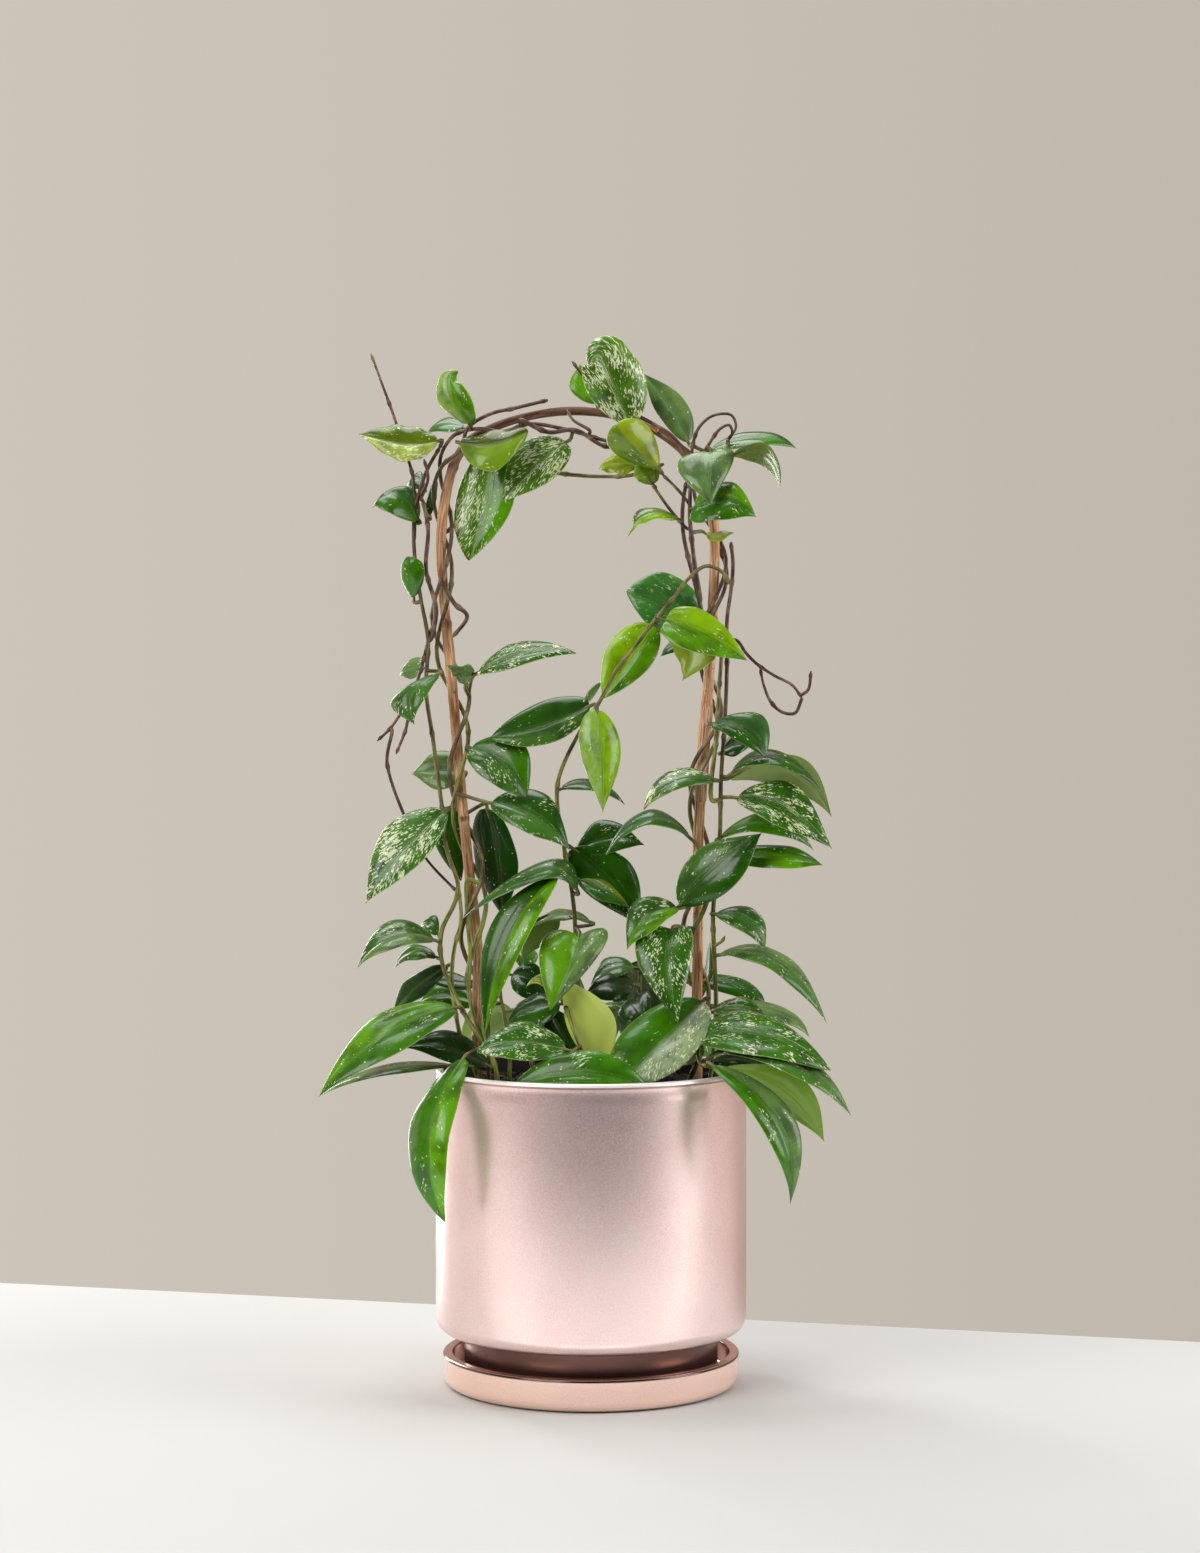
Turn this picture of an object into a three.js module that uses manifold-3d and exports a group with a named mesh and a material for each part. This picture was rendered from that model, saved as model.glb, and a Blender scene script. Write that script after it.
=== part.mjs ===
// Potted hoya pubicalyx, twined on a hoop of bent cane in a glazed pot with its saucer.
// Millimetres, +Z up, origin at the centre of the saucer's underside, the front is towards -Y.

import * as THREE from 'three';
import { mergeVertices } from 'three/addons/utils/BufferGeometryUtils.js';
import Module from 'manifold-3d';

const wasm = await Module();
wasm.setup();

// Driving dimensions
const TOUCH_GAP = 0.3;
const TWINE_GAP = 1.5;
const ROUND_SIDES = 30;

const SAUCER = {
  radius: 95.5,
  height: 21,
  floor: 6,
  wall: 6.5,
  footRadius: 88,
  cornerRound: 7,
};

const POT = {
  radius: 100,
  rimTop: 203,
  bodyBottom: 35,
  floor: 8,
  wall: 5.5,
  lipRound: 2.75,
  cornerRound: 9,
  innerSlope: 8,
  footRadius: 81.5,
  drainRadius: 8,
};

const SOIL = { top: 192, edge: 189, lump: 1.5, rings: [74, 40, 0], rootDepth: 24 };

const CANE = { radius: 3.3, sides: 6, bottom: 72, step: 16, leftX: -73.5, rightX: 68.5 };

const STEM = { radius: 1.6, sides: 4, step: 22 };
const TWINED_STEM = { ...STEM, step: 14 };
const RUNNER = { radius: 1.2, sides: 3, step: 13 };
const PETIOLE = { radius: 1.3, sides: 3, step: 15, sunkInBlade: 0.12, lean: 3 };

// A blade is a thin lens: full thickness on the midrib, a sharp margin.
const BLADE = { thickness: 1.3, belly: 0.1, widest: 0.45 };
const BLADE_GRIDS = [
  { longerThan: 84, rows: 5, stations: [-1, -0.5, 0, 0.5, 1] },
  { longerThan: 50, rows: 5, stations: [-1, 0, 1] },
  { longerThan: 0, rows: 4, stations: [-1, 0, 1] },
];

// Places on the plant are read off a front picture of it: [across, down, depth].
// Across and down are picture points, depth is millimetres behind the plane of the hoop.
const PICTURE = { centre: [600, 746], pointsPerMm: 1.55, eyeDistance: 1907, eyeX: 5.8, eyeZ: 410 };

function seen([across, down, depth]) {
  const scale = (PICTURE.pointsPerMm * PICTURE.eyeDistance) / (PICTURE.eyeDistance + depth);
  const x = PICTURE.eyeX + (across - PICTURE.centre[0]) / scale;
  const z = PICTURE.eyeZ - (down - PICTURE.centre[1]) / scale;
  return new THREE.Vector3(x, depth, z);
}

// The bent cane, up the left leg, over the arch and down the right leg
const CANE_ROUTE = [
  [477, 1000, 0], [478, 955, 0], [470, 880, 0], [462, 800, 0], [455, 720, 0], [450, 660, 0],
  [444, 600, 0], [441, 540, 0], [445, 500, 0], [454, 465, 0], [468, 442, 0], [497, 426, 0],
  [535, 415, 0], [575, 411, 0], [617, 416, 0], [655, 430, 0], [690, 458, 0], [708, 490, 0],
  [714, 530, 0], [714, 580, 0], [711, 640, 0], [708, 690, 0], [704, 740, 0], [701, 790, 0],
  [698, 850, 0], [698, 940, 0], [697, 1000, 0],
];

// Leaves: [name, base, crest, tip, left, right]. The crest is the middle of the midrib, left and
// right are the margins beside it, as seen on the upper face looking from the base to the tip.
const LEFT_VINE = {
  name: 'left_vine',
  twined: [
    {
      from: 0.125, to: 0.46, turns: 3.9, phase: 250, slack: 2.2, rooted: true,
      tail: [[530, 424, -10], [560, 428, -9], [607, 441, -9], [645, 449, -9]],
    },
    {
      from: 0.14, to: 0.435, turns: 3.39, phase: 40, slack: 1.2,
      tail: [[468, 428, -10], [490, 414, -9], [515, 408, -8], [548, 400, -8]],
    },
  ],
  strands: [
    {
      path: [[449, 530, 9], [470, 500, 12], [500, 470, 12], [545, 472, 10], [590, 476, 8], [632, 475, 6],
        [664, 464, 8]],
    },
    { path: [[468, 880, -9], [467, 905, -8], [470, 950, -9], [470, 1000, -8], [486, 1050, -10]] },
  ],
  leaves: [
    ['left_curled', [469, 424, -12], [455, 397, -16], [452, 366, -12], [438, 395, -10], [470, 400, -20]],
    ['left_dark_top', [464, 428, 8], [447, 424, 14], [425, 432, 16], [446, 432, 4], [448, 418, 24]],
    ['left_olive', [460, 443, -16], [493, 448, -26], [529, 430, -20], [495, 431, -16], [489, 470, -30]],
    ['left_flecked', [566, 442, -4], [536, 463, -6], [503, 499, -12], [553, 479, -8], [518, 447, -2]],
    ['left_large', [490, 450, 6], [485, 505, 4], [468, 560, 2], [514, 502, 0], [454, 508, 8]],
    ['left_long_fleck', [478, 673, -12], [524, 654, -16], [578, 651, -18], [524, 641, -2], [508, 669, -28]],
    ['left_cup', [465, 684, -9], [461, 671, -16], [447, 667, -24], [453, 675, -14], [473, 667, -16]],
    ['left_heart', [471, 748, -12], [503, 764, -22], [527, 797, -26], [523, 742, -16], [486, 780, -30]],
    ['left_pale_back', [462, 772, 12], [438, 770, 16], [411, 773, 18], [438, 790, 8], [440, 750, 24]],
    ['left_broad', [491, 803, -14], [532, 816, -26], [572, 849, -30], [546, 794, -14], [522, 831, -34]],
    ['left_hanging', [459, 806, 8], [449, 840, 11], [461, 881, 10], [466, 838, 12], [432, 833, 12]],
    ['left_shade', [487, 808, 12], [497, 860, 18], [501, 914, 16], [518, 862, 13], [474, 858, 26]],
  ],
};

const LEFT_OUTER_VINE = {
  name: 'left_outer_vine',
  strands: [
    {
      root: [-59, -34],
      path: [[493, 1060, -32], [478, 1036, -28], [457, 1000, -20], [441, 957, -14], [442, 930, -12],
        [455, 902, -13], [458, 885, -13], [447, 850, -12], [441, 800, -11], [433, 740, -10], [426, 690, -10],
        [428, 640, -11], [421, 600, -10], [415, 560, -10], [414, 520, -8], [420, 490, -8], [428, 468, -8],
        [440, 447, -10]],
    },
    {
      root: [-74, -20],
      path: [[466, 1060, -20], [452, 985, -14], [454, 950, -13], [461, 920, -13], [459, 890, -12]],
    },
    { path: [[430, 640, -11], [436, 610, -13], [426, 570, -12], [428, 530, -12], [423, 500, -10]] },
    { path: [[432, 628, -10], [416, 684, -13], [392, 726, -16], [377, 741, -18]], runner: true },
    {
      path: [[392, 730, -17], [387, 762, -15], [404, 815, -14], [425, 857, -13], [457, 892, -12]],
      runner: true,
    },
    { path: [[411, 697, -15], [406, 728, -19], [396, 754, -22]], runner: true },
    { path: [[414, 540, -9], [413, 478, -6], [404, 448, -3], [395, 420, 0], [371, 354, 4]], runner: true },
    { path: [[421, 500, -9], [428, 478, -16], [424, 459, -18]], runner: true },
  ],
  leaves: [
    ['top_left', [438, 441, -12], [400, 443, -20], [358, 432, -18], [400, 461, -26], [399, 425, -12]],
    ['outer_arched', [418, 519, -8], [397, 494, -14], [369, 506, -20], [388, 513, -28], [408, 486, -2]],
    ['outer_small', [424, 488, -2], [416, 479, 4], [406, 487, 6], [413, 488, -2], [420, 472, 10]],
    ['outer_narrow', [430, 516, 2], [432, 496, 12], [438, 476, 18], [427, 497, 8], [437, 494, 17]],
    ['outer_folded', [414, 598, -8], [411, 578, -14], [405, 557, -16], [401, 575, -8], [424, 566, -16]],
    ['outer_silver', [438, 674, -17], [412, 693, -24], [414, 725, -28], [424, 700, -30], [391, 702, -16]],
    ['outer_faint', [424, 668, 4], [413, 668, 10], [397, 674, 16], [412, 679, 6], [415, 657, 18]],
    ['outer_streaked', [446, 811, -18], [402, 850, -32], [364, 903, -38], [419, 865, -36], [383, 831, -24]],
    ['outer_silver_wing', [434, 940, -22], [394, 936, -36], [355, 967, -46],
      [397, 948, -50], [388, 921, -22]],
    ['outer_ear', [438, 934, -10], [430, 923, -4], [416, 929, 2], [424, 931, -10], [434, 915, 2]],
    ['outer_under', [436, 957, -8], [415, 951, -2], [392, 967, 2], [415, 960, -10], [413, 945, 8]],
    ['outer_dark', [447, 966, 0], [417, 986, 8], [391, 1014, 12], [426, 994, 0], [408, 978, 16]],
    ['rim_bright', [455, 1008, -34], [386, 1033, -56], [316, 1096, -72], [398, 1053, -72], [374, 1017, -42]],
    ['rim_hanging', [464, 1058, -46], [429, 1132, -76], [443, 1224, -76],
      [450, 1138, -82], [408, 1138, -64]],
    ['shade_dark', [488, 1066, -22], [447, 1047, -32], [405, 1046, -38], [451, 1063, -42], [451, 1030, -18]],
    ['shade_thin', [452, 1066, -20], [385, 1069, -36], [319, 1093, -42], [386, 1076, -52], [386, 1067, -20]],
  ],
};

const RIGHT_VINE = {
  name: 'right_vine',
  twined: [
    {
      from: 0.88, to: 0.575, turns: -4, phase: 200, slack: 1.6, rooted: true,
      tail: [[674, 438, -10], [650, 422, -10], [620, 408, -9]],
    },
    { from: 0.86, to: 0.61, turns: -3.1, phase: 20, slack: 1 },
  ],
  strands: [
    { path: [[699, 596, -9], [692, 570, -10], [683, 531, -10], [684, 495, -10], [692, 466, -9]] },
    { path: [[704, 590, 9], [698, 555, -12], [690, 520, -16], [690, 480, -14], [688, 462, -12]] },
    { path: [[688, 529, -15], [672, 512, -18], [656, 490, -18], [652, 484, -17]], runner: true },
    { path: [[690, 505, -14], [680, 492, -20], [662, 474, -22]], runner: true },
    {
      path: [[691, 463, -8], [697, 431, -4], [712, 416, -3], [731, 415, -4], [736, 427, -5], [728, 440, -6]],
      runner: true,
    },
    {
      path: [[700, 458, -9], [707, 447, -11], [720, 429, -13], [729, 425, -13], [732, 433, -9],
        [727, 441, -5]],
      runner: true,
    },
    { path: [[617, 409, -9], [596, 396, -6], [584, 378, -4], [572, 361, -2]], runner: true },
  ],
  leaves: [
    ['top_streaked', [636, 423, -14], [614, 381, -24], [588, 343, -26], [592, 393, -18], [640, 369, -16]],
    ['top_shade', [596, 404, 4], [587, 385, 8], [580, 364, 10], [569, 387, 8], [602, 383, 10]],
    ['top_dark', [688, 442, 6], [669, 406, 10], [642, 372, 12], [656, 412, 6], [685, 400, 18]],
    ['top_yellow', [658, 468, -24], [636, 447, -34], [617, 428, -42], [617, 450, -28], [643, 427, -28]],
    ['top_crinkled', [638, 465, -14], [618, 463, -20], [598, 468, -24], [619, 475, -24], [615, 454, -14]],
    ['top_bract', [653, 484, -16], [645, 474, -20], [635, 463, -20], [635, 478, -22], [658, 467, -18]],
    ['top_silver', [710, 453, -16], [706, 472, -30], [711, 504, -38], [734, 463, -22], [677, 472, -26]],
    ['top_narrow', [711, 450, 2], [757, 439, 4], [798, 446, 6], [757, 431, 16], [746, 447, -10]],
    ['top_drooping', [733, 455, -12], [766, 452, -16], [783, 489, -22], [757, 464, 2], [768, 446, -28]],
    ['right_bright', [697, 506, -18], [727, 500, -26], [756, 516, -30], [732, 481, -16], [717, 521, -34]],
    ['right_crumpled', [677, 519, -22], [648, 514, -26], [628, 538, -36], [645, 522, -36], [641, 510, -12]],
    ['right_tiny', [706, 534, -12], [719, 537, -16], [733, 530, -16], [720, 532, -9], [717, 542, -19]],
    ['right_glossy', [703, 618, 10], [664, 602, 2], [627, 590, -2], [657, 631, -4], [669, 573, 10]],
    ['right_sliver', [700, 636, 12], [676, 644, 14], [659, 655, 12], [672, 654, 8], [678, 636, 20]],
    ['right_strap', [690, 838, -8], [650, 819, -16], [602, 855, -24], [648, 826, -30], [645, 811, 0]],
    ['right_dark_tall', [680, 905, -20], [717, 868, -32], [762, 832, -28], [697, 850, -22], [737, 884, -38]],
    ['right_low_silver', [677, 908, -22], [644, 918, -36], [626, 950, -42],
      [657, 928, -44], [634, 901, -26]],
    ['right_low_fleck', [672, 930, -30], [665, 968, -50], [678, 1024, -60],
      [693, 958, -46], [635, 958, -46]],
  ],
};

const RIGHT_OUTER_VINE = {
  name: 'right_outer_vine',
  strands: [
    {
      root: [76, -24],
      path: [[713, 1060, -22], [716, 1007, -14], [714, 950, -11], [713, 915, -11], [716, 880, -11],
        [720, 830, -12], [721, 780, -11], [725, 718, -10], [727, 665, -10], [727, 620, -9],
        [731, 590, -8], [733, 565, -8], [731, 542, -9]],
    },
    { path: [[712, 800, -15], [716, 740, -16], [719, 690, -15], [722, 650, -13]] },
    {
      path: [[736, 640, -12], [746, 653, -15], [757, 664, -17], [775, 676, -19], [792, 685, -18],
        [802, 698, -16]],
      runner: true,
    },
    {
      path: [[795, 713, -14], [782, 712, -13], [771, 702, -13], [764, 686, -14], [760, 668, -16]],
      runner: true,
    },
    { path: [[808, 690, -17], [811, 671, -20]], runner: true },
    { path: [[716, 945, -12], [722, 941, -14], [725, 936, -16]], runner: true },
  ],
  leaves: [
    ['outer_inward', [716, 780, -18], [674, 780, -26], [640, 811, -34], [676, 791, -36], [668, 771, -12]],
    ['outer_round', [713, 724, -22], [744, 731, -28], [766, 757, -34], [763, 716, -16], [732, 738, -36]],
    ['outer_edge_on', [731, 774, -14], [775, 757, -24], [823, 792, -32], [775, 750, -8], [768, 765, -36]],
    ['outer_underside', [731, 777, -6], [788, 766, 4], [833, 817, 2], [776, 786, 20], [801, 757, -8]],
    ['outer_shadow', [722, 752, 0], [738, 744, 8], [753, 744, 12], [735, 734, 14], [738, 755, 2]],
    ['outer_flecked', [737, 798, -20], [783, 812, -34], [833, 849, -40], [797, 786, -24], [774, 824, -44]],
    ['outer_lower_a', [720, 838, -8], [768, 822, -10], [816, 848, -12], [775, 811, 4], [758, 833, -20]],
    ['outer_lower_b', [722, 856, -6], [780, 857, -14], [823, 864, -22], [783, 845, -4], [777, 869, -22]],
    ['outer_light', [716, 914, -18], [746, 921, -24], [768, 950, -28], [758, 911, -10], [738, 930, -32]],
    ['outer_long', [719, 955, -16], [776, 962, -32], [829, 1023, -42], [784, 954, -16], [767, 969, -44]],
  ],
};

const CENTRE_VINE = {
  name: 'centre_vine',
  strands: [
    {
      root: [-6, 1],
      path: [[583, 1060, 0], [577, 960, -2], [573, 900, -6], [565, 853, -8], [557, 800, -10],
        [559, 777, -11], [578, 735, -13], [597, 706, -17], [618, 668, -21], [640, 640, -24],
        [653, 622, -25], [672, 600, -22], [690, 577, -20], [706, 566, -19], [722, 572, -18],
        [729, 584, -17]],
    },
  ],
  leaves: [
    ['centre_lit', [666, 622, -28], [706, 637, -34], [747, 660, -36], [714, 616, -24], [694, 652, -44]],
    ['centre_bright', [652, 626, -14], [630, 658, -8], [603, 697, -12], [648, 666, -10], [611, 647, -8]],
    ['centre_gold', [668, 634, -14], [690, 650, -18], [681, 681, -22], [678, 660, -24], [716, 655, -10]],
    ['centre_hanging', [597, 710, -24], [600, 756, -32], [603, 813, -30], [621, 753, -24], [579, 747, -28]],
    ['centre_dark', [590, 706, -10], [541, 724, -18], [490, 737, -22], [545, 745, -26], [540, 702, -8]],
    ['centre_thin', [584, 706, -4], [592, 692, 2], [604, 680, 6], [589, 690, 2], [595, 695, 2]],
    ['centre_edge_on', [561, 789, -4], [592, 785, 2], [628, 803, 4], [592, 780, 14], [590, 791, -8]],
    ['centre_back', [576, 852, 2], [607, 838, 8], [645, 844, 8], [606, 819, 16], [612, 853, 0]],
    ['centre_big_dark', [572, 848, -2], [611, 880, 0], [640, 926, -4], [633, 866, 4], [587, 894, -4]],
    ['centre_strap', [577, 890, -14], [545, 869, -26], [459, 920, -38], [540, 881, -40], [546, 860, -10]],
    ['centre_arch', [580, 880, -10], [604, 891, -16], [630, 907, -22], [610, 884, -8], [598, 899, -24]],
    ['centre_long_strap', [556, 876, -30], [506, 938, -46], [484, 1037, -50],
      [526, 942, -52], [487, 933, -40]],
    ['centre_lobed', [579, 937, -30], [568, 968, -50], [550, 1011, -58], [603, 951, -42], [537, 953, -42]],
    ['centre_grey', [558, 916, 16], [540, 932, 20], [520, 958, 22], [530, 924, 12], [550, 941, 28]],
    ['centre_low_edge', [590, 922, 4], [560, 914, 10], [527, 929, 14], [560, 920, 0], [560, 910, 22]],
  ],
};

const FRONT_SHOOT = {
  name: 'front_shoot',
  strands: [
    { root: [-6, -48], path: [[588, 1070, -50], [584, 1055, -52], [576, 1036, -52], [566, 1008, -44]] },
    { path: [[560, 1082, -56], [536, 1086, -64]] },
  ],
  leaves: [
    ['front_flecked', [566, 1050, -62], [520, 1041, -70], [476, 1051, -76],
      [520, 1060, -82], [521, 1022, -58]],
    ['front_rim', [514, 1087, -74], [581, 1075, -84], [648, 1087, -82], [583, 1050, -76], [580, 1092, -90]],
    ['front_pale', [600, 1066, -42], [589, 1020, -44], [560, 976, -40], [612, 1012, -48], [567, 1027, -44]],
    ['front_small', [562, 1000, -34], [545, 981, -40], [524, 984, -42], [545, 987, -48], [546, 975, -34]],
    ['front_inner', [560, 1004, -30], [530, 1003, -34], [504, 1021, -38], [532, 1014, -48], [530, 996, -24]],
  ],
};

const RIGHT_SHOOT = {
  name: 'right_shoot',
  strands: [
    { root: [62, -34], path: [[697, 1062, -40], [699, 1040, -42], [704, 1015, -36], [709, 1000, -30]] },
    { path: [[701, 1064, -54], [708, 1066, -64]] },
    { path: [[706, 1012, -20], [712, 1006, -10]] },
  ],
  leaves: [
    ['rim_broad', [703, 1001, -30], [656, 1043, -56], [612, 1088, -68], [684, 1062, -68], [621, 1025, -48]],
    ['rim_speckled', [700, 1038, -50], [763, 1036, -66], [832, 1069, -76],
      [761, 1013, -46], [757, 1056, -84]],
    ['rim_little', [703, 1046, -34], [690, 1056, -36], [676, 1067, -38], [684, 1050, -28], [697, 1062, -44]],
    ['rim_tucked', [713, 1012, -24], [742, 1009, -28], [768, 1017, -30], [742, 997, -16], [742, 1022, -40]],
    ['rim_grey', [716, 1006, -8], [775, 1012, -10], [812, 1036, -16], [778, 1005, 2], [770, 1020, -22]],
    ['rim_silver', [722, 1052, -54], [793, 1063, -76], [853, 1115, -86], [805, 1056, -62], [783, 1071, -90]],
    ['rim_dark', [712, 1062, -40], [758, 1063, -50], [799, 1095, -56], [762, 1054, -38], [752, 1073, -60]],
    ['rim_underside', [722, 1069, -64], [783, 1093, -76], [825, 1141, -76],
      [768, 1103, -70], [803, 1078, -84]],
    ['rim_trailing', [712, 1065, -72], [775, 1122, -92], [793, 1206, -92],
      [794, 1116, -86], [761, 1128, -102]],
  ],
};

const LEFT_SHOOT = {
  name: 'left_shoot',
  strands: [
    { root: [-53, 16], path: [[510, 1060, 16], [505, 1020, 14], [498, 985, 12]] },
  ],
  leaves: [
    ['shade_top', [478, 985, 12], [447, 979, 20], [425, 980, 22], [448, 989, 10], [447, 972, 28]],
    ['shade_pale', [478, 1004, 20], [443, 995, 28], [419, 1003, 32], [442, 1008, 20], [444, 981, 38]],
    ['shade_inner', [512, 975, 10], [535, 968, 8], [562, 985, 4], [540, 962, 18], [530, 980, -4]],
  ],
};

const BACK_SHOOT = {
  name: 'back_shoot',
  strands: [
    { root: [27, 30], path: [[634, 1062, 30], [638, 1010, 28], [640, 970, 26], [636, 935, 24]] },
    { path: [[662, 1030, 26], [686, 1016, 22]] },
  ],
  leaves: [
    ['inner_silver', [634, 968, 22], [612, 968, 18], [589, 984, 16], [612, 979, 6], [608, 957, 28]],
    ['inner_dark', [634, 985, 16], [610, 982, 4], [583, 994, -2], [615, 990, -8], [608, 972, 12]],
    ['inner_low', [632, 1000, 10], [636, 1004, -12], [650, 1031, -28], [650, 994, -6], [620, 1018, -22]],
    ['inner_right', [666, 975, 24], [736, 985, 22], [766, 1004, 18], [738, 978, 32], [733, 996, 14]],
    ['inner_upright', [690, 1010, 22], [707, 975, 20], [707, 940, 18], [702, 975, 30], [713, 975, 12]],
    ['back_arch', [640, 960, 34], [640, 998, 86], [636, 1075, 124], [668, 1004, 84], [612, 1004, 84]],
    ['back_left', [624, 1008, 42], [606, 1018, 88], [590, 1102, 128], [586, 1024, 84], [626, 1016, 94]],
    ['back_right', [646, 1015, 40], [690, 1024, 68], [728, 1085, 100], [705, 1012, 80], [676, 1036, 58]],
  ],
};

const BACK_LEFT_SHOOT = {
  name: 'back_left_shoot',
  strands: [
    { root: [-39, 50], path: [[532, 1060, 50], [530, 1010, 54], [524, 975, 58]] },
  ],
  leaves: [
    ['far_left', [512, 1010, 60], [478, 1030, 86], [455, 1090, 100], [468, 1012, 96], [492, 1048, 76]],
    ['far_over_rim', [530, 1020, 62], [528, 1028, 96], [520, 1120, 128], [550, 1036, 96], [506, 1036, 96]],
    ['far_up', [524, 970, 60], [518, 945, 84], [500, 960, 112], [500, 938, 80], [536, 952, 90]],
    ['far_fill', [540, 992, 54], [564, 984, 62], [590, 1000, 66], [570, 966, 70], [556, 1000, 54]],
  ],
};

const VINES = [
  LEFT_VINE, LEFT_OUTER_VINE, RIGHT_VINE, RIGHT_OUTER_VINE, CENTRE_VINE,
  FRONT_SHOOT, RIGHT_SHOOT, LEFT_SHOOT, BACK_SHOOT, BACK_LEFT_SHOOT,
];

// Solids in and out of the boolean library
function toSolid(geometry) {
  const bare = geometry.index ? geometry.toNonIndexed() : geometry.clone();
  bare.deleteAttribute('normal');
  bare.deleteAttribute('uv');
  const welded = mergeVertices(bare, 1e-4);
  return new wasm.Manifold(new wasm.Mesh({
    numProp: 3,
    vertProperties: new Float32Array(welded.attributes.position.array),
    triVerts: new Uint32Array(welded.index.array),
  }));
}

function toGeometry(solid) {
  const mesh = solid.getMesh();
  const geometry = new THREE.BufferGeometry();
  geometry.setAttribute('position', new THREE.BufferAttribute(new Float32Array(mesh.vertProperties), 3));
  geometry.setIndex(new THREE.BufferAttribute(new Uint32Array(mesh.triVerts), 1));
  geometry.computeVertexNormals();
  return geometry;
}

// A rod of even section along a smooth curve, in straight lengths of about the form's step
function lengths(curve, form) {
  return Math.max(2, Math.ceil(curve.getLength() / form.step));
}

// Places every two millimetres or so along those straight lengths
function placesAlong(curve, form) {
  const joints = curve.getSpacedPoints(lengths(curve, form));
  const perLength = Math.ceil(form.step / 2);
  const places = [];
  for (let joint = 1; joint < joints.length; joint += 1) {
    for (let i = 0; i < perLength; i += 1) {
      places.push(joints[joint - 1].clone().lerp(joints[joint], i / perLength));
    }
  }
  return places;
}

function rod(curve, form) {
  const { radius, sides } = form;
  const steps = lengths(curve, form);
  const corners = [];
  for (let corner = 0; corner < sides; corner += 1) {
    const angle = (2 * Math.PI * corner) / sides;
    corners.push(new THREE.Vector2(radius * Math.cos(angle), radius * Math.sin(angle)));
  }
  const section = new THREE.Shape(corners);
  return new THREE.ExtrudeGeometry(section, { extrudePath: curve, steps, bevelEnabled: false });
}

function smooth(points) {
  return new THREE.CatmullRomCurve3(points, false, 'centripetal');
}

// Turned pieces: profiles are [radius, height] pairs that start and end on the axis or close
function turned(profile) {
  const geometry = new THREE.LatheGeometry(profile.map(([r, h]) => new THREE.Vector2(r, h)), ROUND_SIDES);
  geometry.rotateX(Math.PI / 2);
  return geometry;
}

function arc(centreR, centreH, radius, fromDegrees, toDegrees, steps) {
  const points = [];
  for (let step = 0; step <= steps; step += 1) {
    const angle = THREE.MathUtils.degToRad(fromDegrees + ((toDegrees - fromDegrees) * step) / steps);
    points.push([centreR + radius * Math.cos(angle), centreH + radius * Math.sin(angle)]);
  }
  return points;
}

function makeSaucer() {
  const lip = SAUCER.wall / 2;
  const inner = SAUCER.radius - SAUCER.wall;
  const profile = [
    [0, 0],
    ...arc(SAUCER.footRadius, SAUCER.cornerRound, SAUCER.cornerRound, -90, 0, 3),
    ...arc(SAUCER.radius - lip, SAUCER.height - lip, lip, 0, 180, 4),
    ...arc(inner - 3, SAUCER.floor + 3, 3, 0, -90, 1),
    [0, SAUCER.floor],
  ];
  return turned(profile);
}

function makePot() {
  const inner = POT.radius - POT.wall;
  const footInner = POT.footRadius - POT.wall;
  const footBottom = SAUCER.floor + TOUCH_GAP;
  const floorTop = footBottom + POT.floor;
  const stepTop = POT.bodyBottom + POT.wall;
  const profile = [
    [POT.drainRadius, footBottom],
    [POT.footRadius, footBottom],
    [POT.footRadius, POT.bodyBottom],
    ...arc(POT.radius - POT.cornerRound, POT.bodyBottom + POT.cornerRound, POT.cornerRound, -90, 0, 3),
    ...arc(POT.radius - POT.lipRound, POT.rimTop - POT.lipRound, POT.lipRound, 0, 180, 4),
    [inner, stepTop + POT.innerSlope],
    [inner - POT.innerSlope, stepTop],
    [footInner, stepTop],
    [footInner, floorTop],
    [POT.drainRadius, floorTop],
    [POT.drainRadius, footBottom],
  ];
  return turned(profile);
}

// The potting mix fills the pot, with a lumpy top and a plain hole for each stem and cane end
function makeSoil(holes) {
  const radius = POT.radius - POT.wall - TOUCH_GAP;
  const footRadius = POT.footRadius - POT.wall - TOUCH_GAP;
  const bottom = SAUCER.floor + TOUCH_GAP + POT.floor + TOUCH_GAP;
  const step = POT.bodyBottom + POT.wall + TOUCH_GAP;
  const geometry = turned([
    [0, bottom], [footRadius, bottom], [footRadius, step],
    [radius - POT.innerSlope, step], [radius, step + POT.innerSlope], [radius, SOIL.edge],
    ...SOIL.rings.map((ring) => [ring, SOIL.top]),
  ]);
  const place = geometry.attributes.position;
  for (let i = 0; i < place.count; i += 1) {
    const x = place.getX(i);
    const y = place.getY(i);
    const z = place.getZ(i);
    if (z > SOIL.edge - 1 && Math.hypot(x, y) < radius - 1) {
      place.setZ(i, z + SOIL.lump * Math.sin(0.14 * x + 0.9) * Math.cos(0.12 * y - 0.4));
    }
  }
  let soil = toSolid(geometry);
  for (const hole of holes) {
    const top = POT.rimTop;
    const drill = new THREE.CylinderGeometry(hole.radius, hole.radius, top - hole.bottom, 6);
    drill.rotateX(Math.PI / 2);
    drill.translate(hole.x, hole.y, (top + hole.bottom) / 2);
    soil = soil.subtract(toSolid(drill));
  }
  return toGeometry(soil);
}

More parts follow.
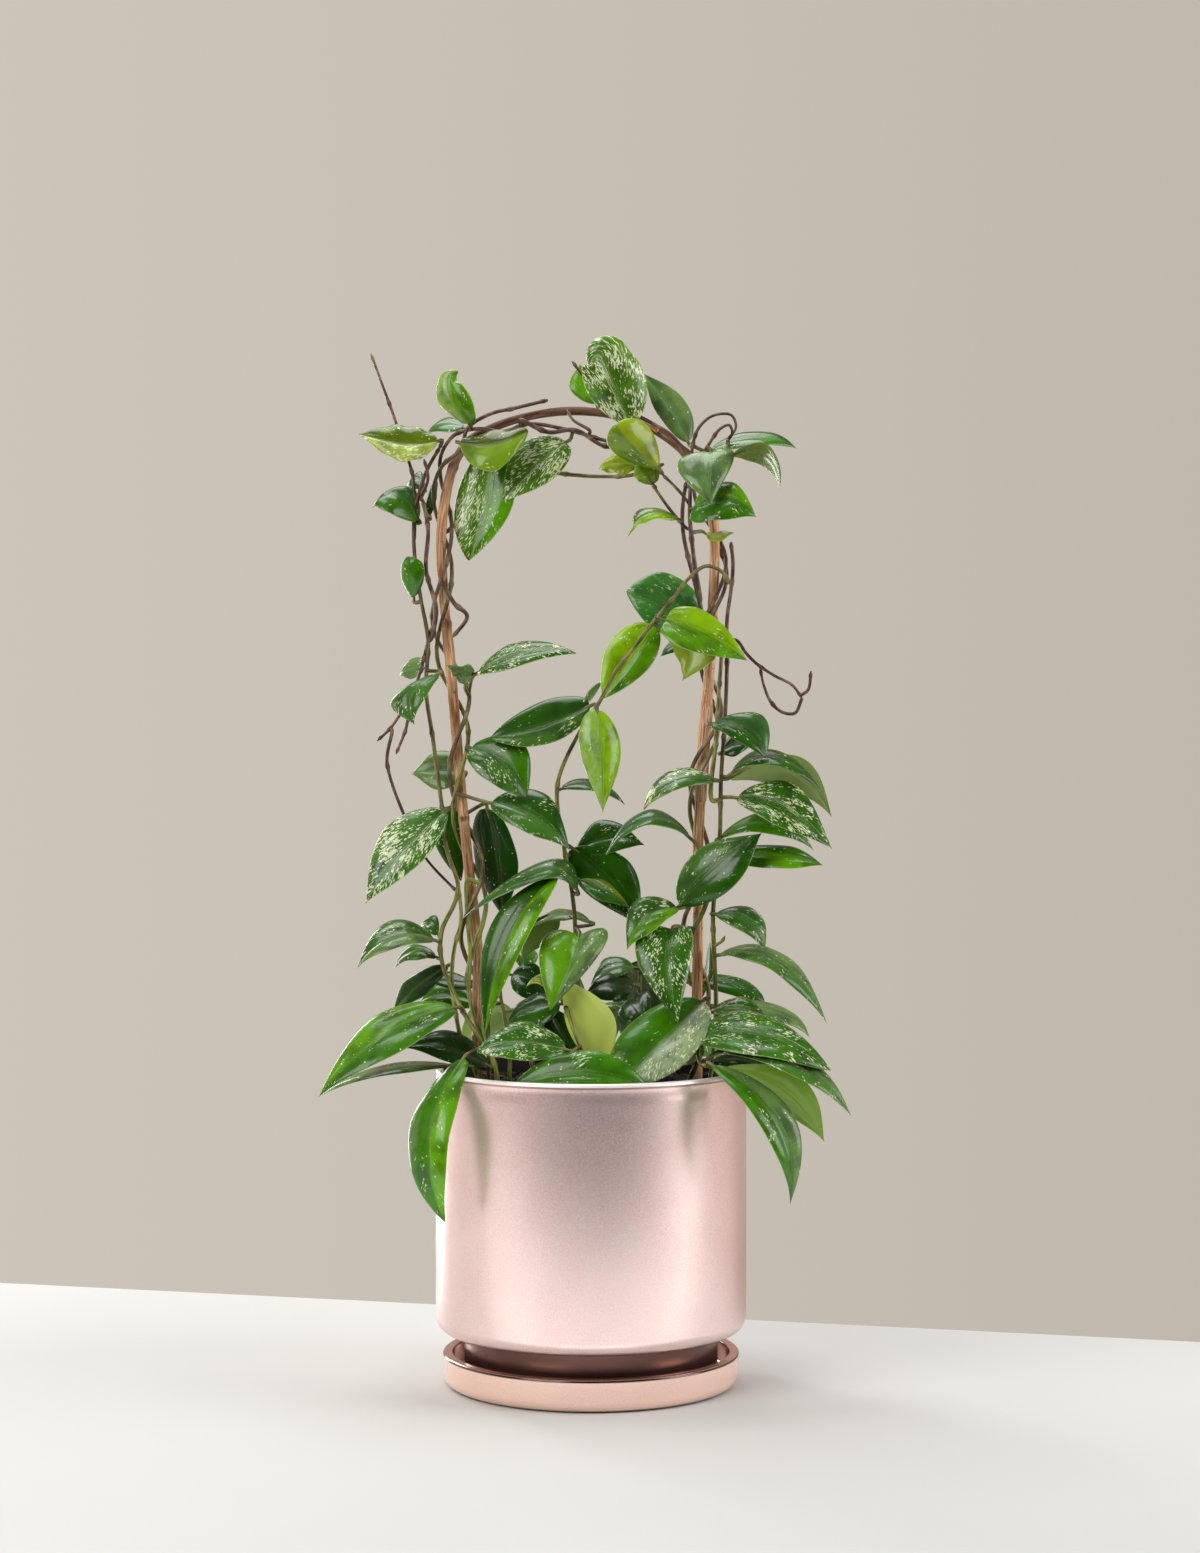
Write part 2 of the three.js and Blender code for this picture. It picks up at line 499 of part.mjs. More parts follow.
const caneCurve = smooth([
  new THREE.Vector3(CANE.leftX, 0, CANE.bottom),
  new THREE.Vector3(CANE.leftX, 0, 120),
  new THREE.Vector3(CANE.leftX, 0, SOIL.top - 10),
  new THREE.Vector3(CANE.leftX, 0, SOIL.top + 6),
  ...CANE_ROUTE.map(seen),
  new THREE.Vector3(CANE.rightX, 0, SOIL.top + 6),
  new THREE.Vector3(CANE.rightX, 0, SOIL.top - 10),
  new THREE.Vector3(CANE.rightX, 0, 120),
  new THREE.Vector3(CANE.rightX, 0, CANE.bottom),
]);

const canePlaces = placesAlong(caneCurve, CANE);

// A stem that twines round the cane: it starts straight up out of the soil beside it
function twinedPoints({ from, to, turns, phase, slack, rooted, tail = [] }) {
  const closest = CANE.radius + STEM.radius + TWINE_GAP;
  const back = new THREE.Vector3(0, 1, 0);
  const count = Math.ceil(Math.abs(turns) * 8);
  const points = [];
  for (let i = 0; i <= count; i += 1) {
    const share = i / count;
    const along = from + (to - from) * share;
    const angle = THREE.MathUtils.degToRad(phase + 360 * turns * share);
    const side = caneCurve.getTangentAt(along).cross(back).normalize();
    const reach = closest + slack * (1 - Math.cos(5.3 * share * Math.PI)) + (i === 0 ? 2 : 0);
    const offset = back.clone().multiplyScalar(Math.cos(angle) * reach);
    offset.addScaledVector(side, Math.sin(angle) * reach);
    points.push(caneCurve.getPointAt(along).add(offset));
  }
  const foot = rooted ? rootPoints(points[0].x, points[0].y) : [];
  return [...foot, ...points.slice(1), ...tail.map(seen)];
}

function rootPoints(x, y) {
  const foot = SOIL.top - SOIL.rootDepth;
  const rises = [0, 8, 16, SOIL.rootDepth, SOIL.rootDepth + 5];
  return rises.map((rise) => new THREE.Vector3(x, y, foot + rise));
}

// The blade as a sheet: along runs 0 to 1 from base to tip, across runs -1 to 1 from left to right
function bladeFrame(leaf, along) {
  const ends = leaf.base.clone().add(leaf.tip).multiplyScalar(0.5);
  const bend = leaf.crest.clone().multiplyScalar(2).sub(ends);
  const midrib = new THREE.QuadraticBezierCurve3(leaf.base, bend, leaf.tip);
  const up = midrib.getTangent(along).cross(leaf.left.clone().sub(leaf.right)).normalize();
  return { centre: midrib.getPoint(along), up };
}

function bladeWidth(along) {
  const stretched = along ** (Math.log(0.5) / Math.log(BLADE.widest));
  return Math.sin(Math.PI * stretched) ** (0.65 + 0.5 * along);
}

function bladePoint(leaf, along, across, lift) {
  const { centre, up } = bladeFrame(leaf, along);
  const margin = (across < 0 ? leaf.left : leaf.right).clone().sub(leaf.crest);
  const share = Math.abs(across);
  const belly = BLADE.belly * 4 * share * (1 - share) * margin.length();
  const width = bladeWidth(along);
  const point = centre.addScaledVector(margin, share * width);
  return point.addScaledVector(up, belly * width + lift * BLADE.thickness * 0.5 * (1 - share * share));
}

// A closed lens of triangles: the two faces share the margins, the base and the tip
function bladeSolid(leaf) {
  const length = leaf.base.distanceTo(leaf.crest) + leaf.crest.distanceTo(leaf.tip);
  const { rows, stations } = BLADE_GRIDS.find(({ longerThan }) => length > longerThan);
  const faces = [];
  for (const lift of [1, -1]) {
    const grid = [];
    for (let row = 0; row <= rows; row += 1) {
      grid.push(stations.map((across) => bladePoint(leaf, row / rows, across, row % rows ? lift : 0)));
    }
    for (let row = 0; row < rows; row += 1) {
      for (let column = 0; column + 1 < stations.length; column += 1) {
        const [a, b] = [grid[row][column], grid[row][column + 1]];
        const [c, d] = [grid[row + 1][column + 1], grid[row + 1][column]];
        const quads = lift > 0 ? [[a, b, c], [a, c, d]] : [[a, c, b], [a, d, c]];
        if (row === 0) quads.shift();
        if (row === rows - 1) quads.pop();
        faces.push(...quads);
      }
    }
  }
  const geometry = new THREE.BufferGeometry().setFromPoints(faces.flat());
  return toSolid(geometry);
}

// How near a curve comes to the middle of the cane
function caneClearance(curve) {
  let least = Infinity;
  for (const place of curve.getSpacedPoints(10)) {
    for (const canePlace of canePlaces) least = Math.min(least, place.distanceTo(canePlace));
  }
  return least;
}

// The shortest curve from the stems' places to a point that keeps clear of the cane
function clearCurve(places, onward, radius) {
  const [end] = onward;
  const byDistance = [...places].sort((a, b) => a.distanceTo(end) - b.distanceTo(end));
  const candidates = byDistance.filter((place, rank) => rank % 2 === 0).slice(0, 120);
  const curves = candidates.map((place) => ({ place, curve: smooth([place, ...onward]) }));
  return curves.find(({ curve }) => caneClearance(curve) > CANE.radius + radius + 0.7) ?? curves[0];
}

function petioleSolid(leaf, places) {
  const inBlade = bladePoint(leaf, PETIOLE.sunkInBlade, 0, 0);
  const lean = leaf.base.clone().sub(inBlade).normalize().multiplyScalar(PETIOLE.lean);
  const { curve } = clearCurve(places, [leaf.base.clone().add(lean), leaf.base, inBlade], PETIOLE.radius);
  return toSolid(rod(curve, PETIOLE));
}

// Each strand starts in the soil, or inside the nearest strand that is already there
function strandCurves(vine) {
  const places = [];
  const strands = [];
  const plans = [
    ...(vine.twined ?? []).map((plan) => ({ ...plan, form: TWINED_STEM, points: twinedPoints(plan) })),
    ...(vine.strands ?? []).map(({ root, path, runner }) => ({
      rooted: root !== undefined,
      form: runner ? RUNNER : STEM,
      points: [...(root ? rootPoints(...root) : []), ...path.map(seen)],
    })),
  ];
  for (const { points, rooted, form } of plans) {
    const curve = rooted ? smooth(points) : clearCurve(places, points, form.radius).curve;
    strands.push({ curve, form, foot: rooted ? points[0] : null });
    places.push(...placesAlong(curve, form).filter((place) => place.z > SOIL.top + 4));
  }
  return { strands, places };
}

function makeVine(vine) {
  const { strands, places } = strandCurves(vine);
  const pieces = strands.map(({ curve, form }) => toSolid(rod(curve, form)));
  for (const [, ...marks] of vine.leaves) {
    const [base, crest, tip, left, right] = marks.map(seen);
    const leaf = { base, crest, tip, left, right };
    pieces.push(petioleSolid(leaf, places), bladeSolid(leaf));
  }
  return toGeometry(wasm.Manifold.union(pieces));
}

function named(name, geometry, color, roughness, metalness = 0) {
  const material = new THREE.MeshStandardMaterial({ color, roughness, metalness });
  const mesh = new THREE.Mesh(geometry, material);
  mesh.name = name;
  return mesh;
}

const holes = [CANE.leftX, CANE.rightX].map((x) => (
  { x, y: 0, radius: CANE.radius + 1, bottom: CANE.bottom - TOUCH_GAP }));
for (const vine of VINES) {
  for (const { foot } of strandCurves(vine).strands) {
    if (foot) holes.push({ x: foot.x, y: foot.y, radius: STEM.radius + 1, bottom: foot.z - TOUCH_GAP });
  }
}

const pottedHoya = new THREE.Group();
pottedHoya.add(named('saucer', makeSaucer(), '#f0cdc2', 0.22, 0.55));
pottedHoya.add(named('pot', makePot(), '#d9bdb4', 0.36, 0.55));
pottedHoya.add(named('soil', makeSoil(holes), '#2a211b', 0.95));
pottedHoya.add(named('hoop', rod(caneCurve, CANE), '#a9805a', 0.7));
for (const vine of VINES) {
  pottedHoya.add(named(vine.name, makeVine(vine), '#3f7a2a', 0.4));
}

export default pottedHoya;
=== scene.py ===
# Potted hoya pubicalyx on a hoop of bent cane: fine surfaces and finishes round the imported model.
# Metres, +Z up, origin at the centre of the saucer's underside, the front is towards -Y.

import math
import random

import bpy
import numpy as np
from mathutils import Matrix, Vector, noise


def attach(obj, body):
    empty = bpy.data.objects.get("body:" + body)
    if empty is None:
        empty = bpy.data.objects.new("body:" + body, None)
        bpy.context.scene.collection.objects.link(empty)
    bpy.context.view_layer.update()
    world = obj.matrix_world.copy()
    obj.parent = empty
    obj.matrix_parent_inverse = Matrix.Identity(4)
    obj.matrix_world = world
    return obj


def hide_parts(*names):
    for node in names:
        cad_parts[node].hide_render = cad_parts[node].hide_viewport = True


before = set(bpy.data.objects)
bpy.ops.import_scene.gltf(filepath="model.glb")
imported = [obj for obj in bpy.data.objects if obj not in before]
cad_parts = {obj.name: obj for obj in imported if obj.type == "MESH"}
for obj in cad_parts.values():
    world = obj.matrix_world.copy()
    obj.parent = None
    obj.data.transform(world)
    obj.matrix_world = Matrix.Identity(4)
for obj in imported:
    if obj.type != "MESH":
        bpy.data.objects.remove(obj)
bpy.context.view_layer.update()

MM = 0.001
dice = random.Random(20)

# Sizes of the model that the finer pieces keep, in millimetres
TOUCH_GAP = 0.3
TWINE_GAP = 1.5
SAUCER = dict(
    radius=95.5, height=21, floor=6, wall=6.5, foot_radius=88, corner_round=7,
    outer_edge_round=1.8, inner_edge_round=1.2, floor_round=3,
)
POT = dict(
    radius=100, rim_top=203, body_bottom=35, floor=8, wall=5.5, lip_round=2.75, edge_round=2.2,
    corner_round=9, inner_slope=8, foot_radius=81.5, drain_radius=8, waist=0.5,
    foot_edge=2, shoulder=1.5,
)
SOIL = dict(
    top=192, edge=189, lump=1.5, root_depth=24, slopes_within=8, inside_shade_above=100,
    rings=70, sides=180,
)
BARK_CHIPS = dict(
    count=420, smallest=1.4, largest=4.2, flatness=0.35, spread=0.95,
    colours=["#2b1d15", "#33231a", "#3f2c20", "#1d150f", "#4a3627"],
)
CANE = dict(
    leg_radius=3.4, arch_radius=2.7, closest=3.3, bottom=72, left_x=-73.5, right_x=68.5,
    thins_from=560, thins_over=50, sides=20,
)
STEM = dict(radius=1.6, sides=10)
RUNNER = dict(radius=1.15, sides=8)
STEM_JOINTS = dict(first=(20, 45), apart=(34, 62), height=0.55, width=1.8)
PETIOLE = dict(radius=1.35, sides=8, sunk_in_blade=0.16, lean=3)
# The tip of a blade curls down and hooks round from these shares of its length on
BLADE = dict(
    thickness=1.3, belly=0.1, groove_depth=0.2, groove_width=1.1, rows=28, columns=14,
    halves_apart=70, curls_from=0.7, hooks_from=0.76,
)

# Outlines: how full the blade is at its base and at its tip, fullest at 0, and how far along the
# midrib it is widest
OUTLINES = {
    "oval": (0.65, 1.15, 0.45),
    "round": (0.50, 0.80, 0.45),
    "blunt": (0.50, 0.60, 0.52),
    "heart": (0.42, 1.00, 0.36),
}

# Places on the plant are read off a front picture of it: (across, down, depth).
# Across and down are picture points, depth is millimetres behind the plane of the hoop.
PICTURE = dict(height=1553, horizon=746, centre=600)
EYE = dict(x=5.8, distance=1907, z=410, points_per_mm=1.55)


def seen(place):
    across, down, depth = place
    scale = EYE["points_per_mm"] * EYE["distance"] / (EYE["distance"] + depth)
    x = EYE["x"] + (across - PICTURE["centre"]) / scale
    z = EYE["z"] - (down - PICTURE["horizon"]) / scale
    return np.array([x, depth, z])


# The bent cane, up the left leg, over the arch and down the right leg
CANE_ROUTE = [
    (477, 1000, 0), (478, 955, 0), (470, 880, 0), (462, 800, 0), (455, 720, 0), (450, 660, 0),
    (444, 600, 0), (441, 540, 0), (445, 500, 0), (454, 465, 0), (468, 442, 0), (497, 426, 0),
    (535, 415, 0), (575, 411, 0), (617, 416, 0), (655, 430, 0), (690, 458, 0), (708, 490, 0),
    (714, 530, 0), (714, 580, 0), (711, 640, 0), (708, 690, 0), (704, 740, 0), (701, 790, 0),
    (698, 850, 0), (698, 940, 0), (697, 1000, 0),
]
# A side branch was cut off the arch, and a sleeve of old bark is left on the right leg
CANE_STUB = [(641, 421, 0), (650, 424, -3), (658, 430, -5)]
CANE_SLEEVE = [(700, 802, 0), (700, 700, 0)]
# The cane's own joints, in millimetres along it
CANE_JOINTS = [150, 292, 418, 520, 690, 802, 905, 1050, 1150]

# How a half of a blade looks: base colour, cream flecks, silver film, pale margin. The silver film is
# partly the leaf's own silver splash and partly painted sheen.
LOOKS = {
    "shade": ("#133c00", 0.10, 0.05, 0.15),
    "dark": ("#204e00", 0.24, 0.10, 0.25),
    "bluish": ("#2f5a22", 0.15, 0.25, 0.25),
    "mid": ("#346900", 0.28, 0.10, 0.40),
    "bright": ("#538a00", 0.32, 0.06, 0.55),
    "fresh": ("#7ba602", 0.18, 0.05, 0.55),
    "lime": ("#86981a", 0.20, 0.10, 0.40),
    # A yellow-green with a strong silver film that paints sheen on a leaf half
    "sheen": ("#78a03a", 0.18, 0.80, 0.55),
    "pale": ("#f0ff84", 0.04, 0.00, 0.20),
    "sage": ("#8ca06c", 0.04, 0.00, 0.20),
    "olive": ("#516602", 0.20, 0.05, 0.30),
    "moss": ("#3c4a00", 0.14, 0.00, 0.40),
    "celery": ("#64821c", 0.22, 0.20, 0.55),
    "cream": ("#93a44c", 0.80, 0.40, 0.50),
    "grey": ("#587642", 0.25, 0.45, 0.20),
    # A full silver film that paints a broad highlight on a leaf half
    "silver": ("#74886a", 0.75, 1.00, 0.20),
    # Dark green with a silver film that paints the gloss of a shiny leaf
    "silver_and_gloss": ("#37702e", 0.30, 0.60, 0.30),
    "sprinkled": ("#4e8800", 0.50, 0.04, 0.50),
    "dappled": ("#2c5a0a", 0.78, 0.10, 0.50),
    "silvery": ("#386222", 0.45, 0.45, 0.35),
    "speckled": ("#2f600a", 0.66, 0.12, 0.45),
    "splashed": ("#4a7618", 1.00, 0.15, 0.60),
    "streaked": ("#43702e", 0.90, 0.35, 0.60),
}

# Leaves: name, look (or looks of the left and the right half), base, crest, tip, left, right, and
# the outline unless it is oval. The crest is the middle of the midrib, left and right are the
# margins beside it, as seen on the upper face looking from the base to the tip.
# Where the two halves of a leaf have different looks, this partly paints the light and shade on its
# fold
LEFT_VINE = dict(
    name="left_vine",
    twined=[
        dict(start=0.125, end=0.46, turns=3.9, phase=250, slack=2.2, rooted=True, tones="olive bark",
             tail=[(530, 424, -10), (560, 428, -9), (607, 441, -9), (645, 449, -9)]),
        dict(start=0.14, end=0.435, turns=3.39, phase=40, slack=1.2, tones="green bark",
             tail=[(468, 428, -10), (490, 414, -9), (515, 408, -8), (548, 400, -8)]),
    ],
    strands=[
        dict(path=[(449, 530, 9), (470, 500, 12), (500, 470, 12), (545, 472, 10), (590, 476, 8),
                   (632, 475, 6), (664, 464, 8)], tones="bark olive"),
        dict(path=[(468, 880, -9), (467, 905, -8), (470, 950, -9), (470, 1000, -8), (486, 1050, -10)],
             tones="green green"),
        dict(path=[(520, 420, -13), (548, 432, -11), (575, 430, -12), (605, 446, -11),
                   (640, 444, -12)], tones="bark bark"),
        dict(path=[(590, 431, -11), (573, 420, -9), (567, 410, -8)], runner=True,
             tones="bark bark"),
        dict(path=[(441, 580, -10), (454, 603, -9), (467, 616, -6), (453, 637, -8)],
             tones="bark bark"),
    ],
    leaves=[
        ("left_curled", "sheen/bright",
         (469, 424, -12), (454, 398, -16), (447, 369, -12), (437, 398, -10), (471, 398, -20), "round"),
        ("left_dark_top", "bluish",
         (464, 428, 8), (447, 424, 14), (425, 432, 16), (446, 432, 4), (448, 418, 24)),
        ("left_olive", "moss/celery",
         (460, 443, -16), (494, 447, -26), (529, 430, -20), (495, 431, -16), (491, 471, -30), "blunt"),
        ("left_flecked", "splashed",
         (566, 442, -4), (536, 463, -6), (503, 499, -12), (553, 479, -8), (518, 447, -2), "round"),
        ("left_large", "sprinkled/splashed",
         (490, 450, 6), (485, 505, 4), (468, 560, 2), (514, 502, 0), (454, 508, 8), "round"),
        ("left_long_fleck", "dappled",
         (478, 673, -12), (524, 654, -16), (578, 651, -18), (524, 641, -2), (508, 669, -28)),
        ("left_cup", "grey",
         (465, 684, -9), (461, 671, -16), (447, 667, -24), (453, 675, -14), (473, 667, -16)),
        ("left_heart", "mid/silvery",
         (471, 748, -12), (503, 764, -22), (527, 797, -26), (523, 742, -16), (486, 780, -30), "round"),
        ("left_pale_back", "grey",
         (462, 772, 12), (438, 770, 16), (411, 773, 18), (438, 790, 8), (440, 750, 24)),
        ("left_broad", "dark/silvery",
         (491, 803, -14), (532, 816, -26), (572, 849, -30), (546, 794, -14), (522, 831, -34)),
        ("left_hanging", "dark",
         (459, 806, 8), (449, 840, 11), (461, 881, 10), (466, 838, 12), (432, 833, 12), "round"),
        ("left_shade", "shade",
         (487, 808, 12), (497, 860, 18), (501, 914, 16), (518, 862, 13), (474, 858, 26), "round"),
    ],
)

LEFT_OUTER_VINE = dict(
    name="left_outer_vine",
    strands=[
        dict(root=(-59, -34), tones="green bark",
             path=[(493, 1060, -32), (478, 1036, -28), (457, 1000, -20), (441, 957, -14),
                   (442, 930, -12), (455, 902, -13), (458, 885, -13), (447, 850, -12),
                   (441, 800, -11), (433, 740, -10), (426, 690, -10), (428, 640, -11),
                   (421, 600, -10), (415, 560, -10), (414, 520, -8), (420, 490, -8),
                   (428, 468, -8), (440, 447, -10)]),
        dict(root=(-74, -20), tones="green green",
             path=[(466, 1060, -20), (452, 985, -14), (454, 950, -13), (461, 920, -13),
                   (459, 890, -12)]),
        dict(path=[(430, 640, -11), (436, 610, -13), (426, 570, -12), (428, 530, -12),
                   (423, 500, -10)], tones="bark bark"),
        dict(path=[(432, 628, -10), (416, 684, -13), (392, 726, -16), (377, 741, -18)],
             runner=True, tones="bark bark"),
        dict(path=[(392, 730, -17), (387, 762, -15), (404, 815, -14), (425, 857, -13),
                   (457, 892, -12)], runner=True, tones="bark bark"),
        dict(path=[(411, 697, -15), (406, 728, -19), (396, 754, -22)], runner=True,
             tones="bark bark"),
        dict(path=[(414, 540, -9), (413, 478, -6), (404, 448, -3), (395, 420, 0), (371, 354, 4)],
             runner=True, tones="bark bark"),
        dict(path=[(421, 500, -9), (428, 478, -16), (424, 459, -18)], runner=True,
             tones="bark bark"),
    ],
    leaves=[
        ("top_left", "cream/olive",
         (438, 441, -12), (400, 443, -20), (358, 432, -18), (400, 461, -26), (399, 425, -12)),
        ("outer_arched", "mid/bluish",
         (418, 519, -8), (397, 494, -14), (369, 506, -20), (388, 513, -28), (408, 486, -2)),
        ("outer_small", "dark",
         (424, 488, -2), (416, 479, 4), (406, 487, 6), (413, 488, -2), (420, 472, 10)),
        ("outer_narrow", "dark",
         (430, 516, 2), (432, 496, 12), (438, 476, 18), (427, 497, 8), (437, 494, 17)),
        ("outer_folded", "mid",
         (414, 598, -8), (411, 578, -14), (405, 557, -16), (401, 575, -8), (424, 566, -16), "round"),
        ("outer_silver", "silvery",
         (438, 674, -17), (412, 693, -24), (414, 725, -28), (424, 700, -30), (391, 702, -16)),
        ("outer_faint", "grey",
         (424, 668, 4), (413, 668, 10), (397, 674, 16), (412, 679, 6), (415, 657, 18)),
        ("outer_streaked", "streaked",
         (446, 811, -18), (402, 850, -32), (364, 903, -38), (419, 865, -36), (383, 831, -24)),
        ("outer_silver_wing", "grey/silvery",
         (434, 940, -22), (394, 936, -36), (355, 967, -46), (397, 948, -50), (388, 921, -22)),
        ("outer_ear", "silvery",
         (438, 934, -10), (430, 923, -4), (416, 929, 2), (424, 931, -10), (434, 915, 2)),
        ("outer_under", "mid",
         (436, 957, -8), (415, 951, -2), (392, 967, 2), (415, 960, -10), (413, 945, 8)),
        ("outer_dark", "shade",
         (447, 966, 0), (417, 986, 8), (391, 1014, 12), (426, 994, 0), (408, 978, 16)),
        ("rim_bright", "mid/bright",
         (455, 1008, -34), (386, 1033, -56), (316, 1096, -72), (398, 1053, -72), (374, 1017, -42)),
        ("rim_hanging", "bright/mid",
         (464, 1058, -46), (429, 1132, -76), (443, 1224, -76), (450, 1138, -82), (408, 1138, -64),
         "round"),
        ("shade_dark", "shade",
         (488, 1066, -22), (447, 1047, -32), (405, 1046, -38), (451, 1063, -42), (451, 1030, -18)),
        ("shade_thin", "grey",
         (452, 1066, -20), (385, 1069, -36), (319, 1093, -42), (386, 1076, -52), (386, 1067, -20)),
    ],
)

RIGHT_VINE = dict(
    name="right_vine",
    twined=[
        dict(start=0.88, end=0.575, turns=-4, phase=200, slack=1.6, rooted=True, tones="olive bark",
             tail=[(674, 438, -10), (650, 422, -10), (620, 408, -9)]),
        dict(start=0.86, end=0.61, turns=-3.1, phase=20, slack=1, tones="green bark"),
    ],
    strands=[
        dict(path=[(705, 640, -9), (700, 604, -9), (683, 531, -10), (684, 495, -10), (692, 466, -9)],
             tones="bark bark"),
        dict(path=[(700, 600, -11), (694, 560, -15), (690, 520, -16), (690, 480, -14),
                   (688, 462, -12)], tones="bark bark"),
        dict(path=[(688, 529, -15), (672, 512, -18), (656, 490, -18), (652, 484, -17)],
             runner=True, tones="bark olive"),
        dict(path=[(690, 505, -14), (680, 492, -20), (662, 474, -22)], runner=True,
             tones="bark olive"),
        dict(path=[(691, 463, -8), (697, 431, -4), (712, 416, -3), (731, 415, -4), (736, 427, -5),
                   (728, 440, -6)], runner=True, tones="bark bark"),
        dict(path=[(700, 458, -9), (707, 447, -11), (720, 429, -13), (729, 425, -13),
                   (732, 433, -9), (727, 441, -5)], runner=True, tones="bark bark"),
        dict(path=[(617, 409, -9), (596, 396, -6), (584, 378, -4), (572, 361, -2)], runner=True,
             tones="bark bark"),
    ],
    leaves=[
        ("top_streaked", "splashed",
         (632, 424, -14), (614, 381, -24), (597, 337, -26), (586, 390, -18), (644, 372, -16), "blunt"),
        ("top_shade", "bright",
         (596, 404, 4), (587, 385, 8), (580, 364, 10), (569, 387, 8), (602, 383, 10)),
        ("top_dark", "grey",
         (688, 442, 6), (669, 406, 10), (642, 372, 12), (656, 412, 6), (685, 400, 18)),
        ("top_yellow", "celery/lime",
         (658, 468, -24), (636, 446, -34), (617, 425, -42), (613, 452, -28), (648, 426, -28), "blunt"),
        ("top_crinkled", "lime",
         (638, 465, -14), (618, 463, -20), (598, 468, -24), (619, 475, -24), (615, 454, -14)),
        ("top_bract", "celery/olive",
         (653, 484, -16), (645, 474, -20), (635, 463, -20), (635, 478, -22), (658, 467, -18)),
        ("top_silver", "grey",
         (710, 453, -16), (706, 472, -30), (711, 504, -38), (734, 463, -22), (677, 472, -26), "heart"),
        ("top_narrow", "dark/mid",
         (711, 450, 2), (757, 439, 4), (798, 446, 6), (757, 431, 16), (746, 447, -10)),
        ("top_drooping", "dark",
         (733, 455, -12), (766, 452, -16), (783, 489, -22), (757, 464, 2), (768, 446, -28)),
        ("right_bright", "bright/mid",
         (694, 508, -18), (727, 500, -26), (757, 516, -30), (732, 481, -16), (717, 522, -34),
         "heart"),
        ("right_crumpled", "fresh/celery",
         (677, 519, -22), (648, 514, -26), (628, 538, -36), (645, 522, -36), (641, 510, -12)),
        ("right_tiny", "lime",
         (706, 534, -12), (719, 537, -16), (733, 530, -16), (720, 532, -9), (717, 542, -19)),
        ("right_glossy", "silver_and_gloss",
         (703, 618, 10), (664, 602, 2), (627, 590, -2), (657, 631, -4), (669, 573, 10), "round"),
        ("right_sliver", "dark",
         (700, 636, 12), (676, 644, 14), (659, 655, 12), (672, 654, 8), (678, 636, 20)),
        ("right_strap", "bluish",
         (690, 838, -8), (650, 819, -16), (602, 855, -24), (648, 826, -30), (645, 811, 0)),
        ("right_dark_tall", "silvery/dark",
         (680, 905, -20), (717, 868, -32), (762, 832, -28), (697, 850, -22), (737, 884, -38)),
        ("right_low_silver", "bright/silvery",
         (677, 908, -22), (644, 918, -36), (626, 950, -42), (657, 928, -44), (634, 901, -26)),
        ("right_low_fleck", "speckled",
         (672, 930, -30), (665, 968, -50), (678, 1024, -60), (693, 958, -46), (635, 958, -46), "heart"),
    ],
)

RIGHT_OUTER_VINE = dict(
    name="right_outer_vine",
    strands=[
        dict(root=(76, -24), tones="green bark",
             path=[(713, 1060, -22), (716, 1007, -14), (714, 950, -11), (713, 915, -11),
                   (716, 880, -11), (720, 830, -12), (721, 780, -11), (725, 718, -10),
                   (727, 665, -10), (727, 620, -9), (731, 590, -8), (733, 565, -8),
                   (731, 542, -9)]),
        dict(path=[(712, 800, -15), (716, 740, -16), (719, 690, -15), (722, 650, -13)],
             tones="green olive"),
        dict(path=[(736, 640, -12), (746, 653, -15), (757, 664, -17), (775, 676, -19),
                   (792, 685, -18), (802, 698, -16)], runner=True, tones="bark bark"),
        dict(path=[(795, 713, -14), (782, 712, -13), (771, 702, -13), (764, 686, -14),
                   (760, 668, -16)], runner=True, tones="bark bark"),
        dict(path=[(808, 690, -17), (811, 671, -20)], runner=True, tones="bark bark"),
        dict(path=[(716, 945, -12), (722, 941, -14), (725, 936, -16)], runner=True,
             tones="green green"),
    ],
    leaves=[
        ("outer_inward", "silvery/streaked",
         (716, 780, -18), (674, 780, -26), (640, 811, -34), (676, 791, -36), (668, 771, -12)),
        ("outer_round", "bluish/dark",
         (713, 724, -22), (744, 731, -28), (766, 757, -34), (763, 716, -16), (732, 738, -36), "round"),
        ("outer_edge_on", "dark",
         (731, 774, -14), (775, 757, -24), (823, 792, -32), (775, 750, -8), (768, 765, -36)),
        ("outer_underside", "sage",
         (731, 777, -6), (788, 766, 4), (833, 817, 2), (776, 786, 20), (801, 757, -8)),
        ("outer_shadow", "shade",
         (722, 752, 0), (738, 744, 8), (753, 744, 12), (735, 734, 14), (738, 755, 2)),
        ("outer_flecked", "dappled",
         (737, 798, -20), (783, 812, -34), (833, 849, -40), (797, 786, -24), (774, 824, -44)),
        ("outer_lower_a", "mid",
         (720, 838, -8), (768, 822, -10), (816, 848, -12), (775, 811, 4), (758, 833, -20)),
        ("outer_lower_b", "mid/bright",
         (722, 856, -6), (780, 857, -14), (823, 864, -22), (783, 845, -4), (777, 869, -22)),
        ("outer_light", "silvery",
         (716, 914, -18), (746, 921, -24), (768, 950, -28), (758, 911, -10), (738, 930, -32)),
        ("outer_long", "grey/silvery",
         (719, 955, -16), (776, 962, -32), (829, 1023, -42), (784, 954, -16), (767, 969, -44)),
    ],
)

